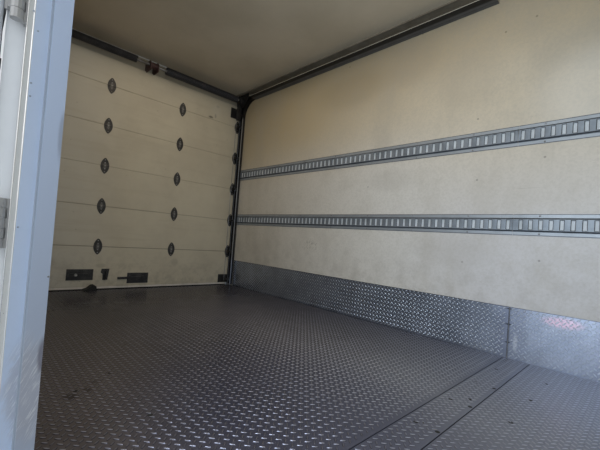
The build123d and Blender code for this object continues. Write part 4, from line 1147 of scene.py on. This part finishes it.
# Strips in the door's joints: back and front, from the boards' faces, and half their height
STRIP_DEEP = (-0.014, -0.003)
STRIP_HALF = 2.5 * MM

# Springs: y from, y to, outer radius
SPRINGS = ((0.106, 1, 0.04), (-1, -0.179, 0.034))
SPRING_WIRE = 3.5 * MM
SPRING_PITCH = 7.3 * MM


def hinge_bolts():
    """Round bolt heads on the leaf hinges, over and under each pin."""
    places = [
        inner(LEAF_FACE, HINGE_EDGE + HINGE_PITCH * column, z + up)
        for column in range(4) for z in DOOR_JOINTS for up in HINGE_BOLTS
    ]
    finish(at_places(dome(6 * MM, 3.2 * MM, (1, 0, 0)), places), "hinge_bolts", "steel")


def joint_seals():
    """Brown strips that close the gaps between the boards."""
    low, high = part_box("rear_door_panels")
    back, face = (DOOR + deep for deep in STRIP_DEEP)
    strips = [
        block((back, low.y, FLOOR + z - STRIP_HALF), (face, high.y, FLOOR + z + STRIP_HALF))
        for z in DOOR_JOINTS
    ]
    finish(join(strips), "joint_seals", "joint_strip", None)


def springs():
    """Wound counterbalance springs on the shaft, the kerb side's the slimmer."""
    low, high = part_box("door_springs")
    middle = (low + high) / 2
    coils = []
    for start, end, outer in SPRINGS:
        coil = primitive(bpy.ops.mesh.primitive_circle_add, vertices=6, radius=SPRING_WIRE,
                         location=(outer - SPRING_WIRE, 0, 0), rotation=(QUARTER, 0, 0))
        turns = int((end - start - 2 * SPRING_WIRE) / SPRING_PITCH)
        modify(coil, "SCREW", axis="Z", angle=4 * QUARTER, screw_offset=SPRING_PITCH, iterations=turns,
               steps=12, render_steps=12, use_normal_calculate=True)
        edit(coil)
        bpy.ops.mesh.fill_holes(sides=0)
        leave_edit()
        face_out(coil)
        settle(coil, rotation_euler=(-QUARTER, 0, 0), location=(middle.x, start + SPRING_WIRE, middle.z))
        coils.append(coil)
    piece = finish(join(coils), "spring_coils", "spring_steel", smooth=60)
    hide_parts("door_springs")


# Black plate at a track's bend: two corners, as inner() takes them
GUSSET = ((0.06, 0.118, 2.045), (0.064, 0.048, 2.335))

# Pale angle over the roll-up door: along and up, its depth and height, and its ends from the walls
TRIM_PLACE = (-0.03, 2.385)
TRIM_DEEP = 5 * MM
TRIM_HIGH = 12 * MM
TRIM_ENDS = 0.095


def corner_gussets():
    """Black plates that stand between the tracks' bends and the top brackets."""
    low, high = (inner(*corner) for corner in GUSSET)
    road = block(low, high)
    kerb = block((low[0], -high[1], low[2]), (high[0], -low[1], high[2]))
    piece = join([road, kerb])
    modify(piece, "BEVEL", width=MM, segments=2)
    finish(piece, "corner_gussets", "black_steel")


def header_trim():
    """Pale angle where the roof meets the rear header."""
    u, top = TRIM_PLACE
    low = inner(u, 2 * HALF_IN - TRIM_ENDS, top - TRIM_HIGH)
    piece = block(low, inner(u + TRIM_DEEP, TRIM_ENDS, top - 0.5 * MM))
    modify(piece, "BEVEL", width=1.5 * MM, segments=2)
    finish(piece, "header_trim", "pale_trim")


# Side doorway

# Hinge cover: its place along the body, metal and width, and from the wall's skin its folds, and
# how far what lies past a distance leans to the rear
COVER_AT = 2.656
COVER_METAL = 3 * MM
COVER_WIDE = 50 * MM
COVER_FOLDS = (COVER_EDGE, 26 * MM, 38 * MM)
COVER_LEANS = ((30 * MM, -2 * MM), (45 * MM, -3 * MM))

# Beads down the hinge-side jamb: across and radius; their screws: across and up
BEADS_AT = 2.6895
BEADS = ((2.348, 2 * MM), (2.3597, 1.2 * MM))
JAMB_SCREWS_AT = 2.695
JAMB_SCREWS = ((2.3503, 1.11), (2.3397, 1.067), (2.3437, 0.942), (2.3433, 0.911), (2.343, 0.603))


def hinge_cover(foot, head):
    """Strip that stands on the wall's skin behind the hinges, and closes the gap there."""
    x, skin = DOOR + COVER_AT, -HALF_OUT
    piece = block((x, skin - COVER_WIDE, foot), (x + COVER_METAL, skin, head))
    edit(piece)
    for fold in COVER_FOLDS:
        cut((0, skin - fold, 0), (0, 1, 0))
    leave_edit()
    for edge, lean in COVER_LEANS:
        lift(piece, lambda place: place.y < skin - edge, (lean, 0, 0))
    finish(piece, "hinge_cover", "hinge_cover")


def jamb_trim():
    """Bright beads down the hinge-side jamb's lip, and its small screws."""
    foot, head = FLOOR - 10 * MM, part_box("side_door_frame")[1].z - 46 * MM
    beads = []
    for v, radius in BEADS:
        x, y, _ = inner(BEADS_AT, v, 0)
        beads.append(primitive(bpy.ops.mesh.primitive_cylinder_add, vertices=12, radius=radius,
                               depth=head - foot, location=(x, y, (foot + head) / 2)))
    finish(join(beads), "jamb_beads", "trim_bead")
    hinge_cover(foot, head)
    places = [inner(JAMB_SCREWS_AT, v, z) for v, z in JAMB_SCREWS]
    finish(at_places(dome(2.3 * MM, 1.2 * MM, (1, 0, 0)), places), "jamb_screws", "frame_seal")


# Outside

RIVET_PITCH = 76 * MM
RIVET_START = 50 * MM


def skin_rivets():
    """Rivets along the top and bottom rails."""
    count = int((FRONT - DOOR - 2 * RIVET_START) / RIVET_PITCH)
    rows = ((CEILING - 58 * MM, SKIN_OUT), (0.265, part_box("bottom_rails")[1].y - 6 * MM))
    for side, word in ((1, "road"), (-1, "kerb")):
        pieces = []
        for z, y in rows:
            head = dome(4.5 * MM, 2.2 * MM, (0, side, 0), segments=8)
            settle(head, location=(DOOR + RIVET_START, side * y, z))
            row(head, count, (RIVET_PITCH, 0, 0))
            pieces.append(head)
        finish(join(pieces), f"skin_rivets_{word}", "extrusion")


# Studio

# Camera: its place and turns in degrees, and how far the lens's axis lies under the middle of the
# photo, which like the photo's width is in pixels
CAMERA_AT = (1.6165, -1.292, 0.8326)
CAMERA_YAW = 44.21
CAMERA_PITCH = 1.15
CAMERA_ROLL = 4.36
CAMERA_LENS = 20.66
PHOTO_WIDTH = 600
PHOTO_AXIS_DROP = 8.255

# Lamps: name, place, the point it is turned to, size, power and tint
LAMPS = (
    ("doorway_light", (1.2, -1.1, 1.15), (1.2, 1, 1.05), (0.9, 1.8), 27, (0.76, 0.88, 1)),
    ("ceiling_light", (-0.4, 0, CEILING - 0.05), (-0.4, 0, 0), (2.8, 1.5), 11, (1, 0.88, 0.72)),
    ("kerb_light", (2.5, -5.5, 3.4), (0.4, -1, 1.1), (4, 3), 40),
    ("rear_light", (-7, 2, 4), (-2, 0, 1.2), (4, 3), 60),
    ("road_light", (1, 6.5, 4), (0, 1, 1.2), (5, 3), 60),
)


def camera():
    """Camera in the side doorway, looking at the roll-up door's corner."""
    data = bpy.data.cameras.new("camera")
    data.sensor_width = 36
    data.sensor_fit = "HORIZONTAL"
    data.lens = CAMERA_LENS
    data.shift_y = PHOTO_AXIS_DROP / PHOTO_WIDTH
    data.clip_start = 0.02
    piece = bpy.data.objects.new("camera", data)
    stand = Matrix.Translation(CAMERA_AT)
    for degrees, axis in ((90 - CAMERA_YAW, "Z"), (90 + CAMERA_PITCH, "X"), (CAMERA_ROLL, "Z")):
        stand = stand @ Matrix.Rotation(math.radians(degrees), 4, axis)
    piece.matrix_world = stand
    bpy.context.scene.collection.objects.link(piece)
    bpy.context.scene.camera = piece


def lamp(name, at, aim, size, power, tint=(1, 1, 1)):
    """Soft rectangular lamp at a place, turned to a point."""
    data = bpy.data.lights.new(name, "AREA")
    data.shape = "RECTANGLE"
    data.size, data.size_y = size
    data.energy = power
    data.color = tint
    piece = bpy.data.objects.new(name, data)
    piece.location = at
    piece.rotation_euler = (Vector(aim) - Vector(at)).to_track_quat("-Z", "Y").to_euler()
    piece.visible_camera = False
    bpy.context.scene.collection.objects.link(piece)


def stage():
    """Pale floor that keeps the object's shadow."""
    floor = primitive(bpy.ops.mesh.primitive_plane_add, size=60, location=(0, 0, -2 * MM))
    floor.name = "studio_floor"
    f = Finish("studio_floor", 0.2, Roughness=0.8)
    f.set(Base_Color=f.mix(f.noise(0.4, 2) * 0.1, (0.74, 0.74, 0.73), (0.66, 0.66, 0.65)))
    floor.data.materials.append(f.material)


def sky():
    """Soft cool sky; white where the camera, a reflection or a lens sees it."""
    world = bpy.data.worlds.new("studio")
    bpy.context.scene.world = world
    world.use_nodes = True
    t = Tree(world.node_tree)
    background = next(node for node in t.tree.nodes if node.type == "BACKGROUND")
    seen = [t.node("LightPath", out=f"Is {ray} Ray") for ray in ("Camera", "Glossy", "Transmission")]
    seen = (seen[0] + seen[1] + seen[2]).clamp()
    feed(t.tree, background.inputs["Color"], t.mix(seen, (0.8, 0.9, 1), (1, 1, 1)))
    feed(t.tree, background.inputs["Strength"], 0.8 + seen * 0.2)


def studio():
    camera()
    stage()
    sky()
    for values in LAMPS:
        lamp(*values)
    bpy.context.scene.view_settings.view_transform = "Standard"


paint_nodes()
for make in (floor_lugs, kick_lugs, floor_screws, rails, rail_bolts, hinge_bolts, springs, joint_seals,
             corner_gussets, header_trim, jamb_trim, skin_rivets):
    make()
studio()
